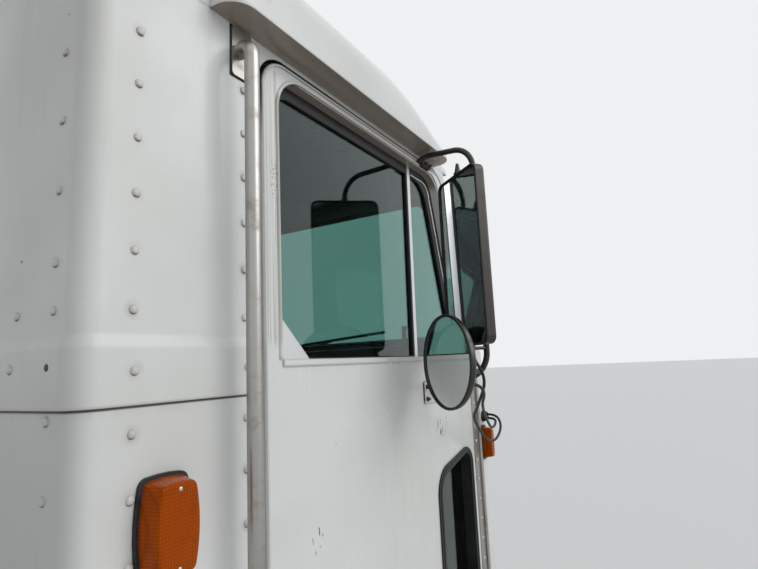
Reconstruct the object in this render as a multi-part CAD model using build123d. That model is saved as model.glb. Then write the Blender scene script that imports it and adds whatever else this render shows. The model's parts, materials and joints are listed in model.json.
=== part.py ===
from build123d import *
import os
from math import atan2, cos, degrees, pi, radians, sin, tan

# Conventional truck cab, millimetres. X runs forward, Y to the left side, Z up.
# The origin is on the floor under the middle of the cab.

# Body shell
skin_half_width = 950.0
rear_face = -660.0
wall = 40.0
panel_foot = 60.0
seam_height = 915.5
band_proud = 5.0
lower_proud = 2.5
band_height = 68.5
joggle_run = 15.0
joggle_low = seam_height + band_height
joggle_high = joggle_low + joggle_run
eave = 1497.0
rear_corner = 30.0
front_corner = 82.0
belt = 965.0
cowl_rise = 20.0
cowl_top = belt + cowl_rise
cowl_drop = 30.0
cut_past = 10.0
beyond = 150.0

# Underframe and floor
frame_overhang = 5.0
rail_spacing = 860.0
rail_width = 80.0
rail_height = 84.0
rail_wall = 6.0
floor_thickness = 18.0
crossmember_depth = 60.0
crossmember_places = (-560.0, 0.0, 540.0)
mount_hole_radius = 11.0
mount_hole_pitch = 1160.0

# Door
door_rear = -372.0
door_front = 522.0
cowl_run = 143.0
front_face = door_front + cowl_run
door_bottom = 120.0
header_drop = 15.0
door_top = eave - header_drop
door_lean = 17.0
door_thickness = 45.0
door_face = skin_half_width + lower_proud
door_gap = 6.0
door_corner = 58.0
head_corner = 60.0
knee_corner = 40.0
door_low_corner = 30.0
window_rear_band = 42.0
window_rear = door_rear + window_rear_band
window_head_band = 20.0
window_top = door_top - window_head_band
window_corners = (50.0, 66.0)
window_foot_corners = (8.0, 14.0)
window_band = 43.0
glass_recess = 27.0
glass_thickness = 5.0
channel_width = 16.0
channel_depth = 17.0
sill_channel = 3.0
head_channel = 24.0
vent_channel = 42.0
vent_corner = 80.0
bar_top = 193.0
bar_foot = 183.0
bar_width = 15.0
bar_proud = 1.0
gusset_length = 92.0
gusset_height = 87.0
gusset_thickness = 4.0
sill_moulding = 11.0
sill_proud = 3.0
stop_reach = 20.0
stop_thickness = 12.0
seal_gap = 10.0
seal_clearance = 0.3
seal_inset = 8.0
seal_lip = 2.0

# Peep window of the right door
peep_front_band = 59.0
peep_length = 236.0
peep_front = door_front - peep_front_band
peep_rear = peep_front - peep_length
peep_bottom = 330.0
peep_rear_top = 682.0
peep_front_top = 726.0
gasket_width = 18.0
gasket_proud = 4.0
gasket_bite = 4.5
peep_corners = (45.0, 45.0, 48.0, 70.0)

# Piano hinge
knuckle_radius = 5.0
pin_radius = 2.6
pin_clearance = 0.3
leaf_thickness = 3.0
leaf_width = 36.0
knuckle_count = 15
knuckle_gap = 0.6
hinge_ends = (45.0, 10.0)
hinge_foot = door_bottom + hinge_ends[0]
hinge_head = belt - hinge_ends[1]

# Roof
roof_wall = 30.0
roof_side = 93.0
roof_rise = 110.0
roof_shoulder = eave + roof_side
roof_top = roof_shoulder + roof_rise
roof_corner = 60.0
hollow_corner = 6.0
roof_bend = -80.0
nose_side = 3.0
nose_rise = 52.0
nose_shoulder = eave + nose_side
roof_nose = nose_shoulder + nose_rise
nose_corner = 36.0
eyebrow_height = 150.0
eyebrow_top = eave + eyebrow_height
eyebrow_round = 90.0
eyebrow_bend = -30.0
eyebrow_dip = 291.0
lip_height = 18.0
eyebrow_tip = eave + lip_height
tip_round = 12.0
station_count = 5
eyebrow_reach = 54.0
eyebrow_rear = -480.0
eyebrow_front = 333.0
eyebrow_lap = 50.0
eyebrow_corner = 42.0

# Windshield
pillar_depth = 44.0
pillar_width = 62.0
header_height = 58.0
base_rail = 34.0
post_width = 46.0
screen_corner = 45.0
screen_glass = 6.0
screen_seal = 16.0
screen_seal_set = 6.0
screen_seal_depth = 22.0

# Rear window
rear_window_width = 800.0
rear_window_height = 360.0
rear_window_sill = 66.0
rear_window_middle = joggle_high + rear_window_sill + rear_window_height / 2
rear_window_corner = 60.0

# Rear-view mirrors on the left side, the right side is its reflection
mirror_yaw = 39.5
mirror_x = 145.4
mirror_reach = 134.0
mirror_z = 1185.0
mirror_width = 180.0
mirror_height = 404.0
mirror_depth = 24.0
mirror_corner = 18.0
mirror_rim = 4.0
mirror_pocket = 4.0
mirror_back_round = 6.0
mirror_glass = 2.5
cap_radii = (10.0, 8.0, 3.5)
cap_heights = (5.0, 28.0)
foot_stud_radius = 6.0
foot_stud_height = 12.0
stud_inset = 14.0
cap_inset = 7.0
round_yaw = 37.0
round_x = 64.0
round_reach = 115.0
round_z = 949.0
round_radius = 101.0
round_depth = 16.0
round_rim = 5.0
round_back_round = 11.0
arm_radius = 7.0
arm_standoff = 30.0
arm_outset = -7.0
arm_elbow = (0.0, 32.5, 10.0)
arm_peak = 79.0
arm_drop = 46.0
arm_bends = (14.0, 60.0, 60.0)
stud_radius = 8.0
stud_spread = 130.0
link_radius = 4.0
link_drop = 6.0
round_bar_radius = 6.0
round_bar_drop = 24.0
round_bar_tuck = 18.0
upper_foot_drop = 10.0
upper_foot_x = 247.0
upper_foot_place = (upper_foot_x, door_top - upper_foot_drop)
upper_foot_size = (50.0, 16.0, 4.0)
upper_foot_thickness = 14.0
upper_weld = (-29.0, 2.0)
lower_foot_drop = 87.0
lower_foot_x = 210.0
lower_foot_place = (lower_foot_x, belt - lower_foot_drop)
lower_foot_size = (66.0, 54.0, 10.0)
lower_foot_thickness = 3.0
lower_weld = (12.0, 0.0)

# Grab handle
handle_setback = 58.0
handle_x = door_rear - door_gap - handle_setback
handle_standoff = 43.0
handle_radius = 11.5
handle_drop = 46.0
handle_top = eave - handle_drop
handle_bottom = 530.0
handle_bend = 30.0
handle_set = 14.0
handle_plate = (42.0, 84.0, 6.0)
handle_plate_thickness = 4.0
handle_plate_edge = 2.0

# Lamps
corner_lamp = (-553.0, 772.0)
cowl_lamp_set = 38.0
cowl_lamp = (door_front + cowl_lamp_set, 709.0)
lamp_base = 6.0
lens_margin = 4.0
lens_draft = 4.5
lens_edge = 4.0
roof_lamp_places = (-520.0, -260.0, 0.0, 260.0, 520.0)
roof_lamp_radius = 34.0
roof_lamp_dome = 60.0

# Cabin
seat_places = (-450.0, 450.0)
seat_width = 500.0
seat_depth = 480.0
seat_set = 158.0
seat_rear = rear_face + wall + seat_set
seat_base_height = 300.0
cushion_thickness = 110.0
back_height = 620.0
back_thickness = 120.0
back_lean = 12.0
wheel_centre = (96.0, 450.0, 800.0)
wheel_lean = 48.0
wheel_radius = 229.0
rim_radius = 14.0
hub_radius = 45.0
hub_length = 50.0
hub_sink = 10.0
spoke_size = (200.0, 30.0, 8.0)
spoke_middle = 110.0
column_radius = 28.0
column_length = 745.0
bracket_length = 40.0
bracket_half_width = 35.0
running_gap = 0.3
dash_depth = 260.0
dash_height = 330.0
dash_foot = 600.0
dash_fall = 30.0
dash_clearance = 31.5
dash_corners = (30.0, 5.0, 5.0, 50.0)
hood_reach = 40.0
hood_lap = 60.0
hood_foot = 120.0
hood_falls = (35.0, 60.0)
hood_half_width = 190.0
hood_corners = (15.0, 5.0, 5.0, 25.0)
seat_clearance = 0.3
seat_round = 28.0

# Inner door panels
trim_thickness = 8.0
trim_foot = 40.0
trim_front = 45.0
trim_head = 30.0
trim_corner = 30.0
rest_place = (-40.0, 650.0)
rest_size = (360.0, 56.0, 20.0)
rest_depth = 52.0
rest_round = 14.0

# Outside door handle
handle_place = (-265.0, 555.0)
escutcheon = (170.0, 62.0, 18.0)
escutcheon_thickness = 6.0
paddle = (120.0, 26.0, 10.0)
paddle_shift = (-12.0, 2.0)
paddle_thickness = 6.0
paddle_standoff = 14.0
paddle_post = (16.0, 22.0, 4.0)
paddle_post_shifts = (40.0, -64.0)

# Wipers, places on the windshield's face
wiper_pivot = (250.0, 21.0)
wiper_pivot_radius = 11.0
wiper_pivot_height = 12.0
wiper_link_middle = (340.0, 41.0)
wiper_link = (190.0, 8.0, 6.0)
wiper_link_turn = 12.0
wiper_blade_middle = (430.0, 60.0)
wiper_blade = (420.0, 9.0, 8.0)
wiper_blade_turn = 4.0

# Gear lever and pedals
lever_place = (180.0, 60.0)
lever_radius = 9.0
lever_rise = (330.0, 640.0)
lever_lean = (30.0, 120.0)
lever_bend = 300.0
knob_radius = 30.0
knob_rise = 15.0
boot_radii = (70.0, 26.0)
boot_height = 90.0
pedal_share = 0.45
pedal_height = 70.0
pedal_length = 110.0
pedal_thickness = 12.0
pedal_stem = (16.0, 22.0)
pedal_stem_sink = 5.0

# Fittings
beam_foot = 24.0
floor_top = rail_height + floor_thickness
toe_run = 150.0
toe_rise = 190.0
toe_half_width = 700.0
ring_back = 14.0
roof_front = 420.0
header_reach = 56.0
pillar_round = 24.0
screen_set = 14.0
bar_seals = (6.0, 3.0)
# columns: rear and front from the bar's foot, bottom and top from the belt
latch_table = ((-21.0, -13.0, 20.0, 76.0), (-21.0, -2.0, 20.0, 38.0), (-21.0, -6.0, 70.0, 76.0))
latch_thickness = 8.0
latch_bite = 0.5
roof_lamp_x = 210.0
roof_lamp_height = 40.0
gland_set = 54.0
gland_place = (door_front + gland_set, 782.0)
gland_length = 14.0
gland_radii = (17.0, 13.0)
gland_spread = 5.5
cable_radius = 3.5
cable_gap = 0.3

os.makedirs("parts", exist_ok=True)


def save(node, *solids):
    """Write one node from its solids."""
    flat = [piece for solid in solids for piece in solid.solids()]
    shape = flat[0] if len(flat) == 1 else Compound(children=flat)
    export_step(shape, f"parts/{node}.step")


def outline(points, radii):
    """Closed face through points, each corner with its own radius."""
    return make_face(FilletPolyline(*points, radius=radii, close=True).edges())


def side_plane(y):
    """Drawing plane of a side view, +X to the right and +Z up, facing -Y."""
    return Plane(origin=(0, y, 0), x_dir=(1, 0, 0), z_dir=(0, -1, 0))


def cross_plane(x):
    """Drawing plane of a cross section, +Y to the right and +Z up, facing +X."""
    return Plane(origin=(x, 0, 0), x_dir=(0, 1, 0), z_dir=(1, 0, 0))


def side_slab(face, outer, inner):
    """A side-view face as a slab between two Y places, outer the larger."""
    return extrude(side_plane(outer) * face, outer - inner)


def block(x, y, z):
    """Box between pairs of places."""
    size = (x[1] - x[0], y[1] - y[0], z[1] - z[0])
    middle = ((x[0] + x[1]) / 2, (y[0] + y[1]) / 2, (z[0] + z[1]) / 2)
    return Pos(*middle) * Box(*size)


def reflect(solid):
    """The same piece on the other side of the cab."""
    return mirror(solid, about=Plane.XZ)


def both(solid):
    """A piece and its reflection."""
    return [solid, reflect(solid)]


def tube(points, radii, radius):
    """Round bar along straight runs and tangent arcs."""
    path = FilletPolyline(*points, radius=radii)
    start = path.edges()[0]
    ring = Plane(origin=start @ 0, z_dir=start % 0) * Circle(radius)
    return sweep(ring, path=path)


# Plan of the shell

def plan_face(proud, z):
    """Rounded plan of the cab, grown by proud."""
    x0 = rear_face - proud
    x1 = front_face + proud
    y = skin_half_width + proud
    back = rear_corner + proud
    front = front_corner + proud
    corners = [(x0, -y), (x1, -y), (x1, y), (x0, y)]
    return Pos(0, 0, z) * outline(corners, [back, front, front, back])


def shell_block(proud, z0, z1):
    """Solid slice of the cab between two heights."""
    return extrude(plan_face(proud, z0), z1 - z0, dir=(0, 0, 1))


# Side view of the door opening

def lean_shift(z):
    """How far the leaning front edge has moved back at a height."""
    return (z - belt) * tan(radians(door_lean))


def door_outline(grow):
    """Outline of the door, grown by a gap."""
    lean = radians(door_lean)
    rear = door_rear - grow
    front = door_front + grow
    knee = belt + grow * (1 - cos(lean)) / sin(lean)
    top = door_top + grow
    head = door_front + grow / cos(lean) - lean_shift(top)
    low = door_bottom - grow
    corners = [(rear, low), (front, low), (front, knee), (head, top), (rear, top)]
    radii = [door_low_corner + grow, door_low_corner + grow, knee_corner, head_corner + grow,
             door_corner + grow]
    return outline(corners, radii)


# columns: rear, foot, head and front margins, rear and front head corners
window_opening = (0, 0, 0, 0, *window_corners)
glass_edge = (channel_width / 2, sill_channel / 2, head_channel / 2, channel_width / 2,
              window_corners[0] - channel_width / 2, window_corners[1] - channel_width / 2)
seal_edge = (channel_width, sill_channel, head_channel, vent_channel, window_corners[0] - channel_width,
             vent_corner)


def window_outline(rear_set, foot_set, head_set, front_set, rear_round, front_round):
    """Outline of the door window with a margin on each of its edges."""
    offset = (window_band + front_set) / cos(radians(door_lean))
    low = belt + foot_set
    high = window_top - head_set
    rear = window_rear + rear_set
    foot = door_front - offset - lean_shift(low)
    head = door_front - offset - lean_shift(high)
    corners = [(rear, low), (foot, low), (head, high), (rear, high)]
    rear_foot, front_foot = window_foot_corners
    return outline(corners, [rear_foot, front_foot, front_round, rear_round])


def peep_outline(shrink):
    """Outline of the low window in the right door."""
    corners = [
        (peep_rear + shrink, peep_bottom + shrink),
        (peep_front - shrink, peep_bottom + shrink),
        (peep_front - shrink, peep_front_top - shrink),
        (peep_rear + shrink, peep_rear_top - shrink),
    ]
    return outline(corners, [radius - shrink for radius in peep_corners])


door_inner = door_face - door_thickness
lining = skin_half_width - wall
stop_outer = door_inner - seal_gap


# Underframe: two closed box rails, three closed crossmembers and the mount holes

def make_underframe():
    rails = []
    hollows = []
    half_rail = rail_width / 2
    rail_end = front_face + frame_overhang
    for side in (-1, 1):
        y = side * rail_spacing / 2
        rails.append(block((-rail_end, rail_end), (y - half_rail, y + half_rail), (0, rail_height)))
        hollows.append(block((-rail_end + rail_wall, rail_end - rail_wall),
                             (y - half_rail + rail_wall, y + half_rail - rail_wall),
                             (rail_wall, rail_height - rail_wall)))
        for end in (-1, 1):
            hollows.append(Pos(end * mount_hole_pitch / 2, y, rail_wall / 2) * Cylinder(
                mount_hole_radius, rail_wall * 2))
    bays = ((-lining, -rail_spacing / 2 - half_rail),
            (half_rail - rail_spacing / 2, rail_spacing / 2 - half_rail),
            (rail_spacing / 2 + half_rail, lining))
    half_beam = crossmember_depth / 2
    for x in crossmember_places:
        rails.append(block((x - half_beam, x + half_beam), (-lining, lining), (beam_foot, rail_height)))
        for y0, y1 in bays:
            hollows.append(block((x - half_beam + rail_wall, x + half_beam - rail_wall),
                                 (y0 + rail_wall, y1 - rail_wall),
                                 (beam_foot + rail_wall, rail_height - rail_wall)))
    frame = rails[0].fuse(*rails[1:])
    return frame.cut(*hollows)


save("underframe", make_underframe())


# Floor pan with a sloped toe board at the firewall

def make_floor():
    firewall = front_face - wall
    pan = block((rear_face + wall, firewall), (-lining, lining), (rail_height, floor_top))
    corners = [(firewall - toe_run, floor_top), (firewall, floor_top), (firewall, floor_top + toe_rise)]
    toe = side_slab(make_face(Polyline(*corners, close=True)), toe_half_width, -toe_half_width)
    return pan + toe


floor_pan = make_floor()
save("floor", floor_pan)


# Rear shell in two panels, lapped under the belt band

def cabin_space(z0, z1):
    """Space inside the lining between two heights."""
    return block((rear_face + wall, front_face - wall), (-lining, lining), (z0, z1))


quarter_front = door_rear - door_gap
outside = skin_half_width + beyond
rear_zone = block((rear_face - beyond, quarter_front), (-outside, outside), (0, eave + cut_past))
under_floor = block((rear_face - beyond, front_face + beyond), (-lining, lining), (0, rail_height))

rear_lower = shell_block(lower_proud, panel_foot, seam_height) - cabin_space(panel_foot, seam_height)
save("rear_lower_shell", (rear_lower - under_floor) & rear_zone)

joggle = loft([plan_face(band_proud, joggle_low), plan_face(0, joggle_high)])
rear_upper = shell_block(band_proud, seam_height, joggle_low) + joggle + shell_block(0, joggle_high, eave)
rear_upper = rear_upper - cabin_space(seam_height, eave)
rear_window = cross_plane(rear_face) * Pos(0, rear_window_middle) * RectangleRounded(
    rear_window_width, rear_window_height, rear_window_corner)
rear_upper = (rear_upper - extrude(rear_window, wall * 2, both=True)) & rear_zone
save("rear_upper_shell", rear_upper)

rear_glass = cross_plane(rear_face + wall / 2) * Pos(0, rear_window_middle) * RectangleRounded(
    rear_window_width - screen_seal, rear_window_height - screen_seal, rear_window_corner - screen_seal / 2)
rear_pane = extrude(rear_glass, screen_glass)
save("rear_window_pane", rear_pane)

rear_sight = cross_plane(rear_face) * Pos(0, rear_window_middle) * RectangleRounded(
    rear_window_width - 2 * screen_seal, rear_window_height - 2 * screen_seal,
    rear_window_corner - screen_seal)
rear_seal = (extrude(rear_window, wall) - extrude(rear_sight, wall * 2, both=True)) - rear_pane
save("rear_window_seal", rear_seal)


# Door frames: rocker below, header above and a stop ring inside each opening

def make_door_frame():
    ring = side_slab(door_outline(door_gap + ring_back), lining, stop_outer - stop_thickness)
    ring = ring - side_slab(door_outline(door_gap), lining, stop_outer)
    ring = ring - side_slab(door_outline(door_gap - stop_reach), stop_outer, stop_outer - stop_thickness)
    ring = ring & block((rear_face, front_face), (0, skin_half_width), (floor_top, eave))
    hinge_side = door_front + door_gap
    slope = door_gap / cos(radians(door_lean))
    head = door_top - door_corner - door_gap
    header = [(quarter_front, head), (door_front + slope - lean_shift(head), head),
              (door_front + slope - lean_shift(eave), eave), (quarter_front, eave)]
    foot = door_bottom + door_low_corner
    rocker = [(quarter_front, panel_foot), (hinge_side, panel_foot), (hinge_side, foot), (quarter_front, foot)]
    hole = side_slab(door_outline(door_gap), door_face, lining)
    header = side_slab(make_face(Polyline(*header, close=True)), skin_half_width, lining) - hole
    rocker = side_slab(make_face(Polyline(*rocker, close=True)), door_face, lining) - hole
    return ring + header + rocker


frame_relief = side_slab(door_outline(door_gap + ring_back), lining, stop_outer - stop_thickness)
door_frame = make_door_frame()
save("door_frames", *both(door_frame))

seal_outer = side_slab(door_outline(door_gap - seal_inset), door_inner - seal_clearance, stop_outer)
seal_inner = side_slab(door_outline(door_gap - stop_reach + seal_lip), door_inner, stop_outer)
save("door_seals", *both(seal_outer - seal_inner))


# Roof: a crowned shell with an eyebrow over each door

def crown_face(x, half_width, shoulder, top, radius, foot):
    """Cross section of the roof: upright sides, corner arcs and a crown arc, all tangent."""
    reach = half_width - radius
    rise = top - shoulder
    crown = (reach**2 + rise**2 - radius**2) / (2 * (rise - radius))
    lean = atan2(reach, shoulder - top + crown)
    join = (crown * sin(lean), top - crown + crown * cos(lean))
    half = (pi / 2 + lean) / 2
    middle = (reach + radius * sin(half), shoulder + radius * cos(half))
    edges = [
        Line((half_width, foot), (half_width, shoulder)),
        ThreePointArc((half_width, shoulder), middle, join),
        ThreePointArc(join, (0, top), (-join[0], join[1])),
        ThreePointArc((-join[0], join[1]), (-middle[0], middle[1]), (-half_width, shoulder)),
        Line((-half_width, shoulder), (-half_width, foot)),
        Line((-half_width, foot), (half_width, foot)),
    ]
    return cross_plane(x) * make_face(edges)


def arc_drop(x, bend, front, full):
    """Fall of a top line that bends down as one arc from a bend to a front end."""
    run = front - bend
    radius = (run**2 + full**2) / (2 * full)
    reach = max(x - bend, 0)
    return radius - (radius**2 - reach**2)**0.5


def even_places(bend, front):
    """Evenly spaced cross sections from a bend to a front end."""
    step = (front - bend) / (station_count - 1)
    return [bend + step * i for i in range(station_count)]


def roof_section(x):
    """Shoulder height, crown height and corner radius of the roof at a place."""
    full = roof_top - roof_nose
    drop = arc_drop(x, roof_bend, roof_front, full)
    share = drop / full
    return (roof_shoulder - (roof_shoulder - nose_shoulder) * share, roof_top - drop,
            roof_corner - (roof_corner - nose_corner) * share)


def roof_height(x, y):
    """Height of the roof's crown at a place."""
    shoulder, top, radius = roof_section(x)
    reach = skin_half_width - radius
    rise = top - shoulder
    crown = (reach**2 + rise**2 - radius**2) / (2 * (rise - radius))
    return top - crown + (crown**2 - y**2)**0.5


def eyebrow_section(x):
    """Shoulder height and corner radius of an eyebrow at a place."""
    full = eyebrow_top - eyebrow_tip
    drop = arc_drop(x, eyebrow_bend, eyebrow_dip, full)
    radius = eyebrow_round - (eyebrow_round - tip_round) * (drop / full)**1.5
    return eyebrow_top - drop - radius, radius


def eyebrow_face(x, shoulder, radius):
    """Cross section of an eyebrow: flat underside, upright side and a rounded top."""
    edge = skin_half_width + eyebrow_reach
    inner = skin_half_width - eyebrow_lap
    top = shoulder + radius
    middle = (edge - radius * (1 - cos(pi / 4)), shoulder + radius * sin(pi / 4))
    edges = [
        Line((inner, eave), (edge, eave)),
        Line((edge, eave), (edge, shoulder)),
        ThreePointArc((edge, shoulder), middle, (edge - radius, top)),
        Line((edge - radius, top), (inner, top)),
        Line((inner, top), (inner, eave)),
    ]
    return cross_plane(x) * make_face(edges)


def make_roof():
    outer = loft([crown_face(x, skin_half_width, *roof_section(x), eave)
                  for x in even_places(roof_bend, roof_front)])
    outer = outer + extrude(crown_face(rear_face, skin_half_width, *roof_section(rear_face), eave),
                            roof_bend - rear_face, dir=(1, 0, 0))

    def hollow_face(x):
        shoulder, top, radius = roof_section(x)
        return crown_face(x, skin_half_width - roof_wall, shoulder, top - roof_wall,
                          max(radius - roof_wall, hollow_corner), eave - cut_past)

    inner = loft([hollow_face(x) for x in even_places(roof_bend, roof_front - header_reach)])
    inner = inner + extrude(hollow_face(rear_face + wall), roof_bend - rear_face - wall, dir=(1, 0, 0))
    brow = loft([eyebrow_face(x, *eyebrow_section(x)) for x in even_places(eyebrow_bend, eyebrow_dip)])
    brow = brow + extrude(eyebrow_face(eyebrow_rear, *eyebrow_section(eyebrow_rear)),
                          eyebrow_bend - eyebrow_rear, dir=(1, 0, 0))
    brow = brow + extrude(eyebrow_face(eyebrow_dip, *eyebrow_section(eyebrow_dip)),
                          eyebrow_front - eyebrow_dip, dir=(1, 0, 0))
    edge = skin_half_width + eyebrow_reach
    inboard = skin_half_width - eyebrow_lap - eyebrow_corner
    plan = RectangleRounded(eyebrow_front - eyebrow_rear, edge - inboard, eyebrow_corner)
    plan = Pos((eyebrow_front + eyebrow_rear) / 2, (edge + inboard) / 2, eave) * plan
    brow = brow & extrude(plan, roof_top - eave, dir=(0, 0, 1))
    return outer + brow + reflect(brow) - inner


roof = make_roof()
save("roof_cap", roof)


# Cowl: firewall, sides and top in one panel

def make_cowl():
    hinge_side = door_front + door_gap
    slope = door_gap / cos(radians(door_lean))
    screen_foot = door_front + slope - lean_shift(cowl_top) + pillar_depth / cos(radians(door_lean))
    fall = cowl_drop * (front_face + beyond - screen_foot) / (front_face - screen_foot)
    corners = [(hinge_side, panel_foot), (front_face + beyond, panel_foot),
               (front_face + beyond, cowl_top - fall), (screen_foot, cowl_top),
               (door_front + slope - lean_shift(cowl_top), cowl_top), (hinge_side, belt)]
    zone = side_slab(make_face(Polyline(*corners, close=True)), outside, -outside)
    shell = shell_block(lower_proud, panel_foot, cowl_top) & zone
    shell = shell - cabin_space(panel_foot, cowl_top - wall) - under_floor
    return shell - frame_relief - reflect(frame_relief)


save("cowl_shell", make_cowl())


# Windshield: a leaning slab with two openings, panes and their seals

def screen_line(z):
    """Rear face of the leaning windshield frame at a height."""
    return door_front + door_gap / cos(radians(door_lean)) - lean_shift(z)


lean = radians(door_lean)
pillar_run = pillar_depth / cos(lean)
screen_plane = Plane(origin=(screen_line(cowl_top) + pillar_run, 0, cowl_top), x_dir=(0, 1, 0),
                     z_dir=(cos(lean), 0, sin(lean)))
screen_rise = (eave - cowl_top) / cos(lean)
screen_half = skin_half_width - pillar_width
light_width = screen_half - post_width / 2
light_height = screen_rise - header_height - base_rail
light_middle = (post_width / 2 + light_width / 2, base_rail + light_height / 2)


def light_face(shrink, side, depth):
    """One windshield opening, shrunk, on a plane behind the frame's front face."""
    face = RectangleRounded(light_width - 2 * shrink, light_height - 2 * shrink, screen_corner - shrink)
    plane = screen_plane.offset(-depth)
    return plane * Pos(side * light_middle[0], light_middle[1]) * face


def make_screen_frame():
    corners = [(screen_line(cowl_top), cowl_top), (screen_line(cowl_top) + pillar_run, cowl_top),
               (screen_line(eave) + pillar_run, eave), (screen_line(eave), eave)]
    frame = side_slab(make_face(Polyline(*corners, close=True)), skin_half_width, -skin_half_width)
    front_edges = [edge for edge in frame.edges().filter_by(lambda e: abs((e % 0.5).Z) > 0.5)
                   if edge.center().X > screen_line(edge.center().Z) + pillar_run / 2]
    frame = fillet(front_edges, pillar_round)
    for side in (-1, 1):
        frame = frame - extrude(light_face(0, side, 0), pillar_depth * 2, both=True)
    return frame - frame_relief - reflect(frame_relief)


save("windshield_frame", make_screen_frame())

screen_panes = [extrude(light_face(screen_seal / 2, side, screen_set), -screen_glass) for side in (-1, 1)]
save("windshield_panes", *screen_panes)

screen_seals = []
for side, pane in zip((-1, 1), screen_panes):
    ring = extrude(light_face(0, side, screen_seal_set), -screen_seal_depth)
    sight = extrude(light_face(screen_seal, side, 0), pillar_depth * 2, both=True)
    screen_seals.append(ring - sight - pane)
save("windshield_seals", *screen_seals)


# Doors. Each piece is drawn for the left side and reflected for the right one.

window_slab = side_slab(window_outline(*window_opening), door_face + cut_past, door_inner - cut_past)
door_length = door_front - door_rear
glass_outer = door_face - glass_recess
channel_outer = glass_outer + (channel_depth - glass_thickness) / 2
channel_inner = channel_outer - channel_depth
knuckle_axis = (door_front + door_gap / 2, door_face + knuckle_radius)


def bar_strip(x0, x1, outer, inner):
    """Leaning upright strip in the window, between two offsets from the division bar."""
    corners = [(bar_foot + x0, belt), (bar_foot + x1, belt), (bar_top + x1, window_top),
               (bar_top + x0, window_top)]
    return side_slab(make_face(Polyline(*corners, close=True)), outer, inner)


def make_panel(peep):
    panel = side_slab(door_outline(0), door_face, door_inner) - window_slab
    corners = [(window_rear, belt - sill_moulding), (bar_foot, belt - sill_moulding), (bar_foot, belt),
               (window_rear, belt)]
    moulding = side_slab(make_face(Polyline(*corners, close=True)), door_face + sill_proud, door_face)
    corners = [(window_rear, belt), (window_rear + gusset_length, belt), (window_rear, belt + gusset_height)]
    gusset = side_slab(make_face(Polyline(*corners, close=True)), channel_outer + gusset_thickness,
                       channel_outer)
    panel = panel + moulding + gusset
    if peep:
        panel = panel - side_slab(peep_outline(gasket_width / 2), door_face + cut_past, door_inner - cut_past)
    return panel


def make_panes(peep):
    inner = glass_outer - glass_thickness
    glass = side_slab(window_outline(*glass_edge), glass_outer, inner)
    rear_side = bar_strip(-door_length, -bar_seals[0] / 2, glass_outer, inner)
    front_side = bar_strip(bar_width + bar_seals[1] / 2, door_length, glass_outer, inner)
    panes = [glass & rear_side, glass & front_side]
    if peep:
        low_pane = peep_outline(gasket_width - gasket_bite)
        panes.append(side_slab(low_pane, glass_outer, inner))
    return panes


def make_seals(peep, panes):
    """Channels of the window with the vent's latch inside, and the low window's gasket."""
    inside = side_slab(window_outline(*seal_edge), channel_outer, channel_inner)
    ring = side_slab(window_outline(*window_opening), channel_outer, channel_inner) - inside
    strips = bar_strip(-bar_seals[0], bar_width + bar_seals[1], channel_outer, channel_inner) & inside
    ring = ring + strips - bar_strip(0, bar_width, door_face, door_inner)
    for pane in panes:
        ring = ring - pane
    outer = channel_inner + latch_bite
    for x0, x1, z0, z1 in latch_table:
        ring = ring + block((bar_foot + x0, bar_foot + x1), (outer - latch_thickness, outer),
                            (belt + z0, belt + z1))
    pieces = [ring]
    if peep:
        gasket = side_slab(peep_outline(gasket_width / 2), door_face, door_inner)
        gasket = gasket + side_slab(peep_outline(0), door_face + gasket_proud, door_face)
        gasket = gasket - side_slab(peep_outline(gasket_width), door_face + cut_past, door_inner - cut_past)
        pieces.append(gasket - panes[-1])
    return pieces


def make_bar():
    return bar_strip(0, bar_width, channel_outer + bar_proud, channel_inner - bar_proud) & window_slab


def knuckle_spans(door_side):
    """Height ranges of every other knuckle, the cab's first."""
    pitch = (hinge_head - hinge_foot) / knuckle_count
    picks = range(1 if door_side else 0, knuckle_count, 2)
    return [(hinge_foot + i * pitch + knuckle_gap / 2, hinge_foot + (i + 1) * pitch - knuckle_gap / 2)
            for i in picks]


def make_door_leaf():
    x, y = knuckle_axis
    clear = knuckle_radius + knuckle_gap
    leaf = block((door_front - leaf_width, x - clear), (door_face, door_face + leaf_thickness),
                 (hinge_foot, hinge_head))
    for z0, z1 in knuckle_spans(True):
        leaf = leaf + block((x - clear, x), (door_face, door_face + leaf_thickness), (z0, z1))
        leaf = leaf + Pos(x, y, (z0 + z1) / 2) * Cylinder(knuckle_radius, z1 - z0)
        leaf = leaf - Pos(x, y, (z0 + z1) / 2) * Cylinder(pin_radius + pin_clearance, z1 - z0)
    return leaf


def make_cab_leaf():
    x, y = knuckle_axis
    jamb = door_front + door_gap
    clear = knuckle_radius + knuckle_gap
    leaf = block((jamb - leaf_thickness, jamb), (door_face - leaf_width, y - clear), (hinge_foot, hinge_head))
    for z0, z1 in knuckle_spans(False):
        leaf = leaf + block((jamb - leaf_thickness, jamb), (y - clear, y), (z0, z1))
        leaf = leaf + Pos(x, y, (z0 + z1) / 2) * Cylinder(knuckle_radius, z1 - z0)
    pin = Pos(x, y, (hinge_foot + hinge_head) / 2) * Cylinder(pin_radius, hinge_head - hinge_foot)
    return leaf + pin


save("cab_hinge_leaves", *both(make_cab_leaf()))


def side_plate(place, size, outer, inner):
    """Rounded plate on a side, drawn at a place as long, high and with a corner radius."""
    return side_slab(Pos(*place) * RectangleRounded(*size), outer, inner)


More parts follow.
